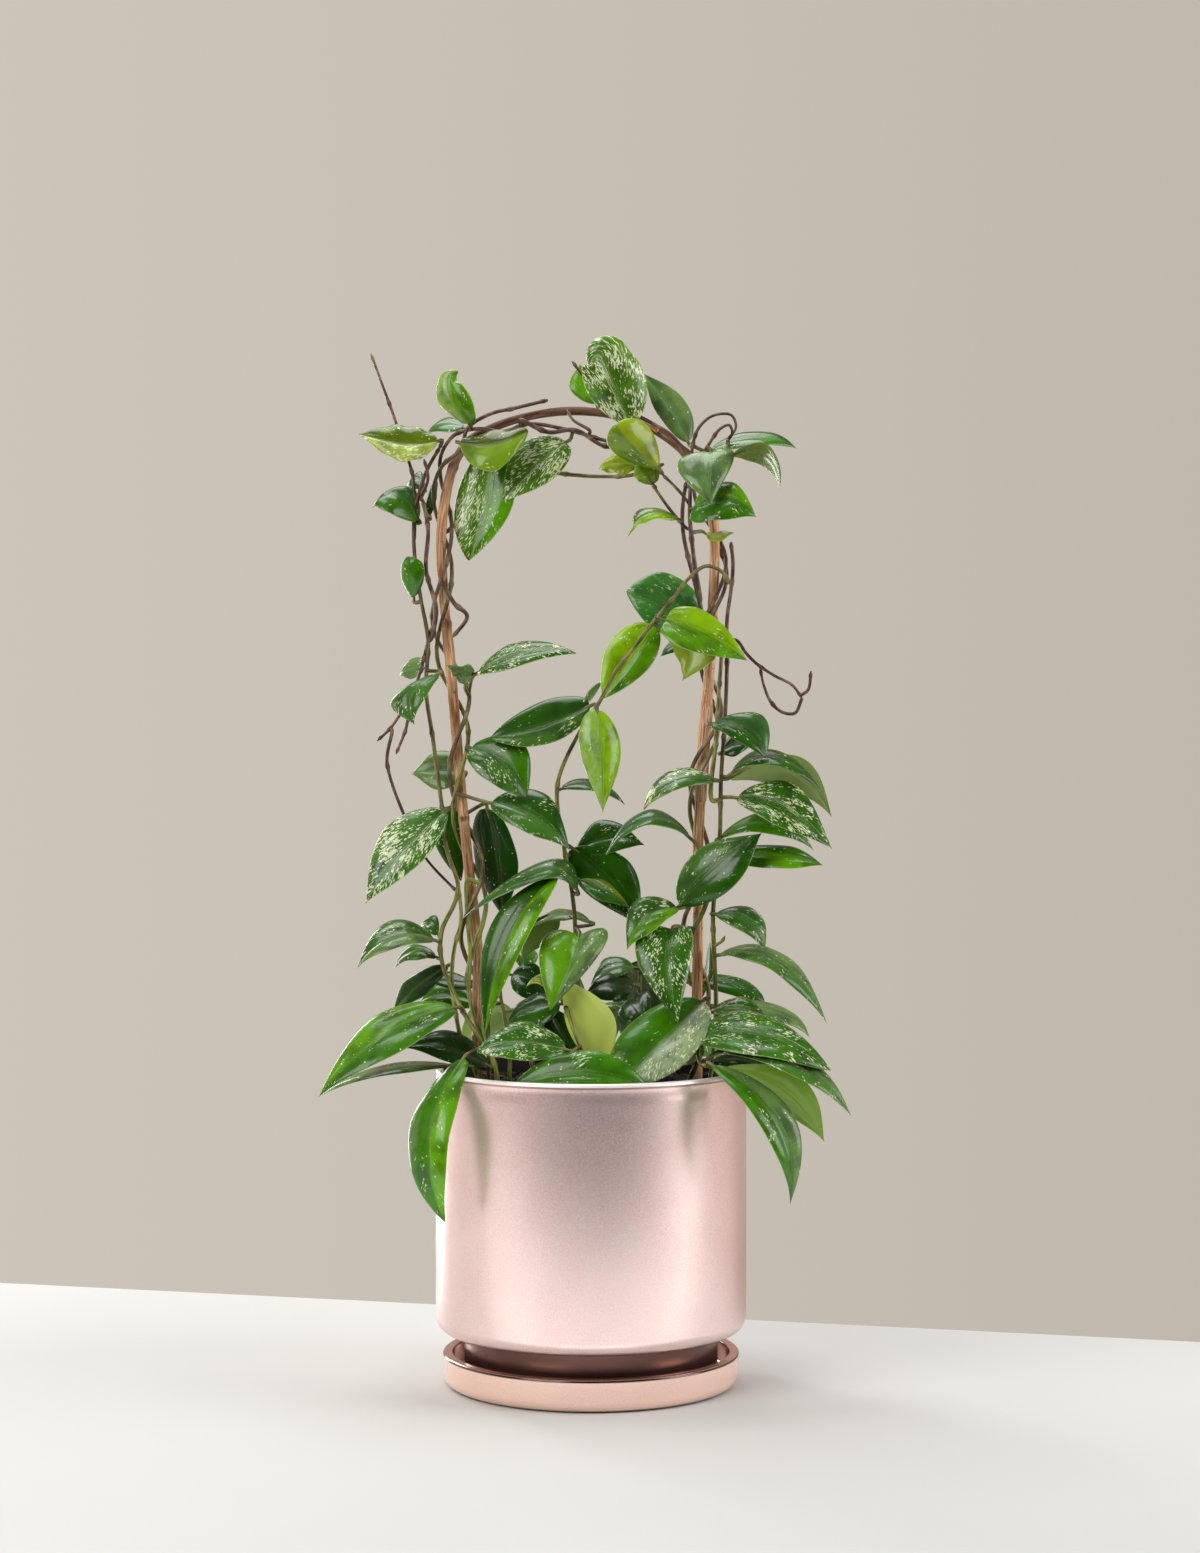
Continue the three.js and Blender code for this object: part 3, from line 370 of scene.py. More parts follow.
CENTRE_VINE = dict(
    name="centre_vine",
    strands=[
        dict(root=(-6, 1), tones="green olive",
             path=[(583, 1060, 0), (577, 960, -2), (573, 900, -6), (565, 853, -8), (557, 800, -10),
                   (559, 777, -11), (578, 735, -13), (597, 706, -17), (618, 668, -21),
                   (640, 640, -24), (653, 622, -25), (672, 600, -22), (690, 577, -20),
                   (706, 566, -19), (722, 572, -18), (729, 584, -17)]),
    ],
    leaves=[
        ("centre_lit", "fresh/bright",
         (665, 621, -28), (706, 637, -34), (748, 660, -36), (714, 615, -24), (694, 653, -44),
         "heart"),
        ("centre_bright", "bright/fresh",
         (652, 625, -14), (630, 658, -8), (603, 698, -12), (650, 667, -10), (608, 645, -8),
         "round"),
        ("centre_gold", "lime",
         (668, 634, -14), (690, 650, -18), (681, 681, -22), (678, 660, -24), (716, 655, -10)),
        ("centre_hanging", "fresh/sheen",
         (597, 710, -24), (600, 756, -32), (603, 813, -30), (621, 753, -24), (579, 747, -28)),
        ("centre_dark", "silvery/dark",
         (590, 706, -10), (541, 724, -18), (490, 737, -22), (545, 745, -26), (540, 702, -8), "round"),
        ("centre_thin", "grey",
         (584, 706, -4), (592, 692, 2), (604, 680, 6), (589, 690, 2), (595, 695, 2)),
        ("centre_edge_on", "dark",
         (561, 789, -4), (592, 785, 2), (628, 803, 4), (592, 780, 14), (590, 791, -8)),
        ("centre_back", "dark",
         (576, 852, 2), (607, 838, 8), (645, 844, 8), (606, 819, 16), (612, 853, 0)),
        ("centre_big_dark", "dark",
         (572, 848, -2), (611, 880, 0), (640, 926, -4), (633, 866, 4), (587, 894, -4)),
        ("centre_strap", "bluish/silvery",
         (577, 890, -14), (545, 869, -26), (459, 920, -38), (540, 881, -40), (546, 860, -10)),
        ("centre_arch", "olive/dark",
         (580, 880, -10), (604, 891, -16), (630, 907, -22), (610, 884, -8), (598, 899, -24)),
        ("centre_long_strap", "bright/dark",
         (556, 876, -30), (506, 938, -46), (484, 1037, -50), (526, 942, -52), (487, 933, -40)),
        ("centre_lobed", "grey/bright",
         (579, 937, -30), (568, 968, -50), (550, 1011, -58), (603, 951, -42), (537, 953, -42), "heart"),
        ("centre_grey", "grey",
         (558, 916, 16), (540, 932, 20), (520, 958, 22), (530, 924, 12), (550, 941, 28)),
        ("centre_low_edge", "grey",
         (590, 922, 4), (560, 914, 10), (527, 929, 14), (560, 920, 0), (560, 910, 22)),
    ],
)

FRONT_SHOOT = dict(
    name="front_shoot",
    strands=[
        dict(root=(-6, -48), tones="green green",
             path=[(588, 1070, -50), (584, 1055, -52), (576, 1036, -52), (566, 1008, -44)]),
        dict(path=[(560, 1082, -56), (536, 1086, -64)], tones="green green"),
    ],
    leaves=[
        ("front_flecked", "dappled",
         (566, 1050, -62), (520, 1041, -70), (476, 1051, -76), (520, 1060, -82), (521, 1022, -58),
         "round"),
        ("front_rim", "mid",
         (514, 1087, -74), (581, 1075, -84), (648, 1087, -82), (583, 1050, -76), (580, 1092, -90),
         "blunt"),
        ("front_pale", "pale",
         (600, 1066, -42), (589, 1020, -44), (560, 976, -40), (612, 1012, -48), (567, 1027, -44)),
        ("front_small", "lime",
         (562, 1000, -34), (545, 981, -40), (524, 984, -42), (545, 987, -48), (546, 975, -34)),
        ("front_inner", "dark",
         (560, 1004, -30), (531, 1008, -36), (503, 1024, -40), (535, 1027, -48), (529, 996, -24)),
        ("front_shadow", "shade",
         (580, 1058, -38), (562, 1031, -33), (548, 1003, -29), (546, 1036, -37), (579, 1026, -30)),
    ],
)

RIGHT_SHOOT = dict(
    name="right_shoot",
    strands=[
        dict(root=(62, -34), tones="green green",
             path=[(697, 1062, -40), (699, 1040, -42), (704, 1015, -36), (709, 1000, -30)]),
        dict(path=[(701, 1064, -54), (708, 1066, -64)], tones="green green"),
        dict(path=[(706, 1012, -20), (712, 1006, -10)], tones="green green"),
    ],
    leaves=[
        ("rim_broad", "silver/mid",
         (703, 1001, -30), (657, 1045, -56), (614, 1090, -68), (685, 1064, -68), (624, 1029, -48),
         "round"),
        ("rim_speckled", "speckled",
         (700, 1038, -50), (763, 1036, -66), (832, 1069, -76), (761, 1013, -46), (757, 1056, -84),
         "round"),
        ("rim_little", "shade",
         (703, 1046, -34), (690, 1056, -36), (676, 1067, -38), (684, 1050, -28), (697, 1062, -44)),
        ("rim_tucked", "speckled",
         (713, 1012, -24), (742, 1009, -28), (768, 1017, -30), (742, 997, -16), (742, 1022, -40)),
        ("rim_grey", "grey",
         (716, 1006, -8), (775, 1012, -10), (812, 1036, -16), (778, 1005, 2), (770, 1020, -22)),
        ("rim_silver", "grey/silvery",
         (722, 1052, -54), (793, 1063, -76), (853, 1115, -86), (805, 1056, -62), (783, 1071, -90)),
        ("rim_dark", "shade",
         (712, 1062, -40), (758, 1063, -50), (799, 1095, -56), (762, 1054, -38), (752, 1073, -60)),
        ("rim_underside", "mid",
         (722, 1069, -64), (783, 1093, -76), (825, 1141, -76), (768, 1103, -70), (803, 1078, -84)),
        ("rim_trailing", "grey/mid",
         (712, 1065, -72), (775, 1122, -92), (793, 1206, -92), (794, 1116, -86), (761, 1128, -102)),
    ],
)

LEFT_SHOOT = dict(
    name="left_shoot",
    strands=[
        dict(root=(-53, 16), path=[(510, 1060, 16), (505, 1020, 14), (498, 985, 12)],
             tones="green green"),
    ],
    leaves=[
        ("shade_top", "dark",
         (478, 985, 12), (447, 979, 20), (425, 980, 22), (448, 989, 10), (447, 972, 28)),
        ("shade_pale", "mid",
         (478, 1004, 20), (443, 995, 28), (419, 1003, 32), (442, 1008, 20), (444, 981, 38)),
        ("shade_inner", "shade",
         (512, 975, 10), (530, 980, 8), (553, 998, 2), (537, 965, 16), (522, 997, -4)),
    ],
)

BACK_SHOOT = dict(
    name="back_shoot",
    strands=[
        dict(root=(27, 30), tones="green green",
             path=[(634, 1062, 30), (638, 1010, 28), (640, 970, 26), (636, 935, 24)]),
        dict(path=[(662, 1030, 26), (686, 1016, 22)], tones="green green"),
    ],
    leaves=[
        ("inner_silver", "silvery",
         (634, 968, 22), (612, 968, 18), (589, 984, 16), (612, 979, 6), (608, 957, 28)),
        ("inner_dark", "shade",
         (634, 985, 16), (610, 984, 2), (583, 994, -4), (613, 1001, -10), (608, 972, 12)),
        ("inner_low", "shade",
         (632, 1000, 10), (636, 1004, -12), (650, 1031, -28), (650, 994, -6), (620, 1018, -22)),
        ("inner_right", "dark",
         (666, 975, 24), (736, 985, 22), (766, 1004, 18), (738, 978, 32), (733, 996, 14)),
        ("inner_upright", "mid",
         (690, 1010, 22), (707, 975, 20), (707, 940, 18), (702, 975, 30), (713, 975, 12)),
        ("back_arch", "mid",
         (640, 960, 34), (640, 998, 86), (636, 1075, 124), (668, 1004, 84), (612, 1004, 84)),
        ("back_left", "speckled",
         (624, 1008, 42), (606, 1018, 88), (590, 1102, 128), (586, 1024, 84), (626, 1016, 94)),
        ("back_right", "silvery",
         (646, 1015, 40), (690, 1024, 68), (728, 1085, 100), (705, 1012, 80), (676, 1036, 58)),
    ],
)

BACK_LEFT_SHOOT = dict(
    name="back_left_shoot",
    strands=[
        dict(root=(-39, 50), path=[(532, 1060, 50), (530, 1010, 54), (524, 975, 58)],
             tones="green green"),
    ],
    leaves=[
        ("far_left", "dark",
         (512, 1010, 60), (478, 1030, 86), (455, 1090, 100), (468, 1012, 96), (492, 1048, 76)),
        ("far_over_rim", "mid",
         (530, 1020, 62), (528, 1028, 96), (520, 1120, 128), (550, 1036, 96), (506, 1036, 96)),
        ("far_up", "speckled",
         (524, 970, 60), (518, 945, 84), (500, 960, 112), (500, 938, 80), (536, 952, 90)),
        ("far_fill", "dark",
         (540, 992, 54), (564, 984, 62), (590, 1000, 66), (570, 966, 70), (556, 1000, 54)),
    ],
)

# Leaves with a crinkled margin
CRINKLED = ["top_left", "left_olive", "top_crinkled", "top_bract", "left_cup"]

# Leaves whose tip hooks round: the angle in degrees, to the left as seen on the upper face
HOOKED = {"top_streaked": 110, "left_curled": -60, "right_crumpled": -40}

VINES = [
    LEFT_VINE, LEFT_OUTER_VINE, RIGHT_VINE, RIGHT_OUTER_VINE, CENTRE_VINE,
    FRONT_SHOOT, RIGHT_SHOOT, LEFT_SHOOT, BACK_SHOOT, BACK_LEFT_SHOOT,
]

# Stem colours: young and green, turning woody, and brown bark
TONES = {"green": "#93a24a", "olive": "#7c7444", "bark": "#624a40"}


# Colours and materials
def linear(code):
    """An sRGB hex colour as linear red, green, blue and alpha."""
    values = [int(code[i:i + 2], 16) / 255 for i in (1, 3, 5)]
    return [v / 12.92 if v <= 0.04045 else ((v + 0.055) / 1.055) ** 2.4 for v in values] + [1.0]


def add(tree, kind, inputs=(), output=0, **settings):
    """Adds a node and gives one of its outputs. The inputs are values or other nodes' outputs, in
    the order of the sockets or by their names or numbers."""
    node = tree.nodes.new("ShaderNode" + kind)
    for name, value in settings.items():
        setattr(node, name, value)
    for socket, value in inputs.items() if isinstance(inputs, dict) else enumerate(inputs):
        if isinstance(value, bpy.types.NodeSocket):
            tree.links.new(value, node.inputs[socket])
        else:
            node.inputs[socket].default_value = value
    return node.outputs[output] if node.outputs else None


def new_material(name, **constants):
    """An empty material with its shader, and the constants set on the shader's own sockets."""
    material = bpy.data.materials.new(name)
    material.use_nodes = True
    tree = material.node_tree
    tree.nodes.clear()
    surface = add(tree, "BsdfPrincipled")
    for socket, value in constants.items():
        surface.node.inputs[socket.replace("_", " ")].default_value = value
    add(tree, "OutputMaterial", {"Surface": surface})
    return material, tree, surface.node.inputs


# The settings of a node that mixes two colours: inputs 0, 6 and 7 are the share and the colours
BLEND = dict(data_type="RGBA", output=2)
TINT = dict(BLEND, blend_type="MULTIPLY")
OVERLAY = dict(BLEND, blend_type="OVERLAY")


# Waxy leaf: a thick smooth cuticle gives soft grey highlights, and the cream flecks of this hoya
# lie under it. Every pattern is laid out in millimetres along the leaf and away from its midrib.
def hoya_leaf_material():
    material, tree, shader = new_material(
        "waxy_hoya_leaf", IOR=1.45, Specular_IOR_Level=0.08, Coat_Weight=0.65, Coat_Roughness=0.18)
    form = add(tree, "Attribute", output="Vector", attribute_name="form")
    blade = add(tree, "Attribute", output="Vector", attribute_name="blade")
    marks = add(tree, "Attribute", output="Vector", attribute_name="marks")
    tone = add(tree, "Attribute", output="Color", attribute_name="tone")
    across, upper = [add(tree, "SeparateXYZ", [form], part) for part in (1, 2)]
    flecks, silver, margin = [add(tree, "SeparateXYZ", [marks], part) for part in (0, 1, 2)]
    from_rib = add(tree, "Math", [across], operation="ABSOLUTE")

    # The green shifts softly over about 14 mm, and is lighter and yellower towards the margin
    drift = add(tree, "TexNoise", {"Vector": blade, "Scale": 1 / 14, "Detail": 3.0})
    outward = add(tree, "Math", [from_rib, 0.16, -0.08], operation="MULTIPLY_ADD")
    lightness = add(tree, "Math", [drift, outward], operation="ADD")
    light_share = add(tree, "MapRange", [lightness, 0.40, 0.68, 0.0, 0.40])
    lighter = add(tree, "Mix", {0: 1.0, 6: tone, 7: linear("#e8f08a")}, **OVERLAY)
    dark_share = add(tree, "MapRange", [drift, 0.30, 0.52, 0.5, 0.0])
    darker = add(tree, "Mix", {0: dark_share, 6: tone, 7: linear("#0e2c02")}, **BLEND)
    body = add(tree, "Mix", {0: light_share, 6: darker, 7: lighter}, **BLEND)

    # Flecks are dashes of about 1.5 by 0.5 mm that slant outwards from the midrib, drawn about
    # twice as large so that they show. They leave a strip free beside the midrib.
    slanted = dict(Vector=blade, Rotation=(0, 0, 0.28), Scale=(3.2, 0.9, 1))
    dashes = add(tree, "Mapping", slanted, vector_type="TEXTURE")
    fine = add(tree, "TexNoise", {"Vector": dashes, "Scale": 1.0, "Detail": 2.0, "Roughness": 0.6})
    # They gather in patches of about 12 mm
    patch = add(tree, "TexNoise", {"Vector": blade, "Scale": 1 / 12, "Detail": 2.0})
    gathered = add(tree, "Math", [patch, 0.6, -0.30], operation="MULTIPLY_ADD")
    free = add(tree, "MapRange", [from_rib, 0.02, 0.16, -0.10, 0.0])
    grouped = add(tree, "Math", [fine, gathered], operation="ADD")
    crowd = add(tree, "Math", [grouped, free], operation="ADD")
    threshold = add(tree, "MapRange", [flecks, 0.0, 1.0, 0.76, 0.53])
    over = add(tree, "Math", [crowd, threshold], operation="SUBTRACT")
    dash = add(tree, "MapRange", [over, 0.0, 0.035, 0.0, 0.9])
    # Single round dots of about 1 mm stand between them, one in some of the 4 mm cells
    cells = add(tree, "TexVoronoi", {"Vector": blade, "Scale": 1 / 4}, feature="F1")
    lot = add(tree, "SeparateXYZ", [cells.node.outputs["Color"]])
    odds = add(tree, "MapRange", [flecks, 0.0, 0.6, 0.04, 0.45])
    chosen = add(tree, "Math", [lot, odds], operation="LESS_THAN")
    dot = add(tree, "MapRange", [cells, 0.10, 0.17, 0.85, 0.0])
    lone = add(tree, "Math", [dot, chosen], operation="MULTIPLY")
    fleck = add(tree, "Math", [dash, lone], operation="MAXIMUM")

    # Silver patches with torn edges: partly the leaf's own silver splash, a film of air under the skin,
    # and partly painted sheen
    torn = add(tree, "Mapping", {"Vector": blade, "Rotation": (0, 0, 0.32), "Scale": (7, 3, 1)},
               vector_type="TEXTURE")
    cloud = add(tree, "TexNoise", {"Vector": torn, "Scale": 1.0, "Detail": 5.0, "Roughness": 0.7})
    bare = add(tree, "MapRange", [silver, 0.0, 1.0, 0.80, 0.38])
    cover = add(tree, "Math", [cloud, bare], operation="SUBTRACT")
    silver_and_gloss = add(tree, "MapRange", [cover, 0.0, 0.16, 0.0, 0.45])
    silvered = add(tree, "Mix", {0: silver_and_gloss, 6: body, 7: linear("#a6b890")}, **BLEND)
    flecked = add(tree, "Mix", {0: fleck, 6: silvered, 7: linear("#dce4ba")}, **BLEND)

    # The midrib is a fine crease, a shade paler, and the margin a thin pale line, partly the leaf's own
    # pale edge and partly a painted edge highlight
    rib = add(tree, "MapRange", [from_rib, 0.0, 0.03, 0.14, 0.0])
    ribbed = add(tree, "Mix", {0: rib, 6: flecked, 7: linear("#8aa24e")}, **BLEND)
    edge = add(tree, "MapRange", [from_rib, 0.965, 0.99])
    edging = add(tree, "Math", [edge, margin], operation="MULTIPLY")
    edged = add(tree, "Mix", {0: edging, 6: ribbed, 7: linear("#bccb84")}, **BLEND)

    # The underside is paler, duller and plain
    under = add(tree, "Mix", {0: 0.5, 6: tone, 7: linear("#86a23a")}, **BLEND)
    face = add(tree, "MapRange", [upper, 0.45, 0.55])
    colour = add(tree, "Mix", {0: face, 6: under, 7: edged}, **BLEND)
    tree.links.new(colour, shader["Base Color"])

    rough = add(tree, "MapRange", [drift, 0.3, 0.7, 0.32, 0.46])
    duller = add(tree, "MapRange", [face, 0.0, 1.0, 0.14, 0.0])
    tree.links.new(add(tree, "Math", [rough, duller], operation="ADD"), shader["Roughness"])

    # The skin puckers gently between the side veins, about 5 mm apart, over a finer orange-peel
    veins = add(tree, "Mapping", {"Vector": blade, "Rotation": (0, 0, 0.7), "Scale": (24, 7, 1)},
                vector_type="TEXTURE")
    pucker = add(tree, "TexNoise", {"Vector": veins, "Scale": 1.0, "Detail": 2.0})
    peel = add(tree, "TexNoise", {"Vector": blade, "Scale": 1 / 2, "Detail": 2.0})
    height = add(tree, "Math", [peel, 0.25, pucker], operation="MULTIPLY_ADD")
    bump = add(tree, "Bump", {"Strength": 0.22, "Distance": 0.9 * MM, "Height": height})
    tree.links.new(bump, shader["Normal"])
    tree.links.new(bump, shader["Coat Normal"])
    return material


# Hoya stem: green and smooth when young, then a purple-brown bark with fine lengthwise cracks
def hoya_stem_material():
    material, tree, shader = new_material("hoya_stem_bark", IOR=1.45, Specular_IOR_Level=0.4)
    rind = add(tree, "Attribute", output="Vector", attribute_name="rind")
    tone = add(tree, "Attribute", output="Color", attribute_name="tone")
    cracks = add(tree, "Mapping", {"Vector": rind, "Scale": (14, 0.9, 1)}, vector_type="TEXTURE")
    crack = add(tree, "TexNoise", {"Vector": cracks, "Scale": 1.0, "Detail": 4.0})
    blotch = add(tree, "TexNoise", {"Vector": rind, "Scale": 1 / 9, "Detail": 3.0})
    dark = add(tree, "Mix", {0: 1.0, 6: tone, 7: linear("#907468")}, **TINT)
    crack_share = add(tree, "MapRange", [crack, 0.42, 0.62])
    cracked = add(tree, "Mix", {0: crack_share, 6: tone, 7: dark}, **BLEND)
    blotch_share = add(tree, "MapRange", [blotch, 0.50, 0.70, 0.0, 0.45])
    blotched = add(tree, "Mix", {0: blotch_share, 6: cracked, 7: linear("#b49c74")}, **BLEND)
    tree.links.new(blotched, shader["Base Color"])
    tree.links.new(add(tree, "MapRange", [crack, 0.3, 0.7, 0.36, 0.56]), shader["Roughness"])
    bump = add(tree, "Bump", {"Strength": 0.5, "Distance": 0.4 * MM, "Height": crack})
    tree.links.new(bump, shader["Normal"])
    return material


# Bent cane: tan wood with long fibres, bits of thin red-brown bark left on it, dark at the joints
def cane_material():
    material, tree, shader = new_material("bent_cane", IOR=1.45, Specular_IOR_Level=0.3)
    rind = add(tree, "Attribute", output="Vector", attribute_name="rind")
    tone = add(tree, "Attribute", output="Color", attribute_name="tone")
    fibres = add(tree, "Mapping", {"Vector": rind, "Scale": (20, 1.1, 1)}, vector_type="TEXTURE")
    fibre = add(tree, "TexNoise", {"Vector": fibres, "Scale": 1.0, "Detail": 5.0, "Roughness": 0.6})
    flakes = add(tree, "Mapping", {"Vector": rind, "Scale": (22, 5, 1)}, vector_type="TEXTURE")
    bark = add(tree, "TexNoise", {"Vector": flakes, "Scale": 1.0, "Detail": 4.0})
    darker = add(tree, "Mix", {0: 1.0, 6: tone, 7: linear("#b08c68")}, **TINT)
    fibre_share = add(tree, "MapRange", [fibre, 0.36, 0.62])
    fibred = add(tree, "Mix", {0: fibre_share, 6: tone, 7: darker}, **BLEND)
    pale_share = add(tree, "MapRange", [fibre, 0.54, 0.7, 0.0, 0.4])
    pale = add(tree, "Mix", {0: pale_share, 6: fibred, 7: linear("#e6c6a0")}, **BLEND)
    barky = add(tree, "Mix", {0: 1.0, 6: tone, 7: linear("#a07c60")}, **TINT)
    bark_share = add(tree, "MapRange", [bark, 0.55, 0.60, 0.0, 0.85])
    barked = add(tree, "Mix", {0: bark_share, 6: pale, 7: barky}, **BLEND)
    # Small black specks, one in some of the 6 mm cells
    cells = add(tree, "TexVoronoi", {"Vector": rind, "Scale": 1 / 6}, feature="F1")
    speck = add(tree, "MapRange", [cells, 0.07, 0.11, 0.7, 0.0])
    specked = add(tree, "Mix", {0: speck, 6: barked, 7: linear("#2c1c16")}, **BLEND)
    tree.links.new(specked, shader["Base Color"])
    tree.links.new(add(tree, "MapRange", [fibre, 0.3, 0.7, 0.48, 0.7]), shader["Roughness"])
    height = add(tree, "Math", [bark_share, 0.8, fibre], operation="MULTIPLY_ADD")
    bump = add(tree, "Bump", {"Strength": 0.5, "Distance": 0.4 * MM, "Height": height})
    tree.links.new(bump, shader["Normal"])
    return material


# The flakes in both glazes are about 0.3 mm and are drawn at 0.7 mm, so that they show
FLAKE = 0.7


# Over the upper edge of the pot and the saucer, from the start height up, the colour turns to the edge
# colour, and a painted dark line just below stands in for shade and dark reflection under the round
# edge
def edge_tint_and_painted_line(tree, height, glaze, start, line_code, edge_code):
    line = add(tree, "MapRange", [height, (start - 1.6) * MM, (start - 0.9) * MM])
    lined = add(tree, "Mix", {0: line, 6: glaze, 7: linear(line_code)}, **BLEND)
    edge = add(tree, "MapRange", [height, (start - 0.2) * MM, (start + 0.2) * MM])
    return add(tree, "Mix", {0: edge, 6: lined, 7: linear(edge_code)}, **BLEND), edge


# Pearl glaze: a satin lustre of fine metallic flakes over fired clay, soft broad reflections. The
# foot is painted dark brown as painted shade and dark reflection under the body, and the inside above
# the mix is dull and painted near-black as painted shade.
def pearl_glaze_material():
    material, tree, shader = new_material(
        "pearl_rose_glaze", IOR=1.5, Coat_Weight=0.12, Coat_Roughness=0.25)
    place = add(tree, "NewGeometry", output="Position")
    height = add(tree, "SeparateXYZ", [place], 2)
    level = add(tree, "VectorMath", [place, (1, 1, 0)], operation="MULTIPLY")
    radius = add(tree, "VectorMath", [level], "Value", operation="LENGTH")
    flake = add(tree, "TexNoise", {"Vector": place, "Scale": 1 / (FLAKE * MM), "Detail": 1.0})
    # Clouds of thicker and thinner glaze, 60 mm across
    cloud = add(tree, "TexNoise", {"Vector": place, "Scale": 1 / (60 * MM), "Detail": 3.0})
    cloud_share = add(tree, "MapRange", [cloud, 0.35, 0.65])
    soft = add(tree, "Mix", {0: cloud_share, 6: linear("#e6c5c1"), 7: linear("#efd4d0")}, **BLEND)
    flake_share = add(tree, "MapRange", [flake, 0.38, 0.62, 0.0, 0.5])
    grain = add(tree, "Mix", {0: flake_share, 6: soft, 7: linear("#fcedeb")}, **BLEND)
    edge_start = POT["rim_top"] - POT["edge_round"]
    # On the pot the edge colour is a painted highlight that whitens the lip, with the painted dark line
    # below
    edged, edge = edge_tint_and_painted_line(tree, height, grain, edge_start, "#b08c84", "#fffaf6")
    foot_top = POT["body_bottom"]
    # Painted shade and dark reflection: the foot, under the body, is coloured dark brown
    foot = add(tree, "MapRange", [height, (foot_top - 0.5) * MM, (foot_top + 2.5) * MM, 1.0, 0.0])
    foot_shaded = add(tree, "Mix", {0: foot, 6: edged, 7: linear("#6a4b45")}, **BLEND)
    # Painted shade: the inner wall above the mix is coloured near-black and made duller
    bore = POT["radius"] - POT["wall"]
    within = add(tree, "MapRange", [radius, (bore + 0.3) * MM, (bore + 1.7) * MM, 1.0, 0.0])
    above = add(tree, "Math", [height, SOIL["inside_shade_above"] * MM], operation="GREATER_THAN")
    inside = add(tree, "Math", [within, above], operation="MULTIPLY")
    inside_shaded = add(tree, "Mix", {0: inside, 6: foot_shaded, 7: linear("#1d1611")}, **BLEND)
    tree.links.new(inside_shaded, shader["Base Color"])
    # The painted lip highlight and the painted dark inside are less metallic
    matt_share = add(tree, "Math", [edge, 0.6, inside], operation="MULTIPLY_ADD")
    tree.links.new(add(tree, "MapRange", [matt_share, 0.0, 1.0, 0.80, 0.0]), shader["Metallic"])
    gloss = add(tree, "MapRange", [flake, 0.3, 0.7, 0.28, 0.36])
    dull = add(tree, "Math", [inside, 0.5, gloss], operation="MULTIPLY_ADD")
    tree.links.new(dull, shader["Roughness"])
    bump = add(tree, "Bump", {"Strength": 0.06, "Distance": 0.2 * MM, "Height": flake})
    tree.links.new(bump, shader["Normal"])
    return material


# Copper lustre: the same glaze fired glossier, with sharper reflections
def copper_glaze_material():
    material, tree, shader = new_material(
        "copper_rose_glaze", IOR=1.5, Coat_Weight=0.5, Coat_Roughness=0.06)
    place = add(tree, "NewGeometry", output="Position")
    height = add(tree, "SeparateXYZ", [place], 2)
    flake = add(tree, "TexNoise", {"Vector": place, "Scale": 1 / (FLAKE * MM), "Detail": 1.0})
    share = add(tree, "MapRange", [flake, 0.35, 0.65])
    grain = add(tree, "Mix", {0: share, 6: linear("#ffd3c1"), 7: linear("#ffe3d6")}, **BLEND)
    # On the saucer the edge keeps the copper tint, and the painted dark line runs just below it
    edged, edge = edge_tint_and_painted_line(tree, height, grain, SAUCER["height"] - 0.5, "#2c1c18", "#ffd2bc")
    # Painted shadow: the foot is coloured dark up to 1.8 mm, a painted contact shadow as a line on the
    # table
    contact_shade = add(tree, "MapRange", [height, 0.8 * MM, 1.8 * MM, 0.8, 0.0])
    contact_shaded = add(tree, "Mix", {0: contact_shade, 6: edged, 7: linear("#3c2823")}, **BLEND)
    tree.links.new(contact_shaded, shader["Base Color"])
    tree.links.new(add(tree, "MapRange", [edge, 0.0, 1.0, 0.50, 0.95]), shader["Metallic"])
    tree.links.new(add(tree, "MapRange", [flake, 0.3, 0.7, 0.12, 0.18]), shader["Roughness"])
    return material


# Potting mix: moist composted bark, nearly black and dull, with crumbs of 2.4 mm and a few paler bits
def potting_mix_material():
    material, tree, shader = new_material("potting_mix", IOR=1.4, Roughness=0.9)
    place = add(tree, "NewGeometry", output="Position")
    tone = add(tree, "Attribute", output="Color", attribute_name="tone")
    crumb = add(tree, "TexNoise", {"Vector": place, "Scale": 1 / (2.4 * MM), "Detail": 4.0})
    share = add(tree, "MapRange", [crumb, 0.4, 0.62])
    dark = add(tree, "Mix", {0: share, 6: tone, 7: linear("#0c0907")}, **BLEND)
    tree.links.new(dark, shader["Base Color"])
    bump = add(tree, "Bump", {"Strength": 0.8, "Distance": 1.2 * MM, "Height": crumb})
    tree.links.new(bump, shader["Normal"])
    return material


# Table top: matt white laminate, with a trace of cloudiness that keeps it from looking drawn
def table_material():
    material, tree, shader = new_material("matt_white_laminate", Roughness=0.8)
    place = add(tree, "NewGeometry", output="Position")
    cloud = add(tree, "TexNoise", {"Vector": place, "Scale": 1 / (250 * MM), "Detail": 2.0})
    shade = add(tree, "Mix", {0: cloud, 6: linear("#c7c9c8"), 7: linear("#ced0ce")}, **BLEND)
    tree.links.new(shade, shader["Base Color"])
    return material


# Meshes
def new_piece(name, points, faces, material, node, attributes=()):
    """A smooth mesh from points in millimetres, which rides on the frame in a CAD node's place."""
    mesh = bpy.data.meshes.new(name)
    mesh.from_pydata((np.asarray(points) * MM).tolist(), [], faces)
    for key, values in dict(attributes).items():
        kind = "FLOAT_COLOR" if key == "tone" else "FLOAT_VECTOR"
        layer = mesh.attributes.new(key, kind, "POINT")
        layer.data.foreach_set("color" if key == "tone" else "vector", np.asarray(values).ravel())
    mesh.polygons.foreach_set("use_smooth", [True] * len(mesh.polygons))
    mesh.materials.append(material)
    piece = bpy.data.objects.new(name, mesh)
    bpy.context.scene.collection.objects.link(piece)
    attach(piece, "root")
    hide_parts(node)
    return piece


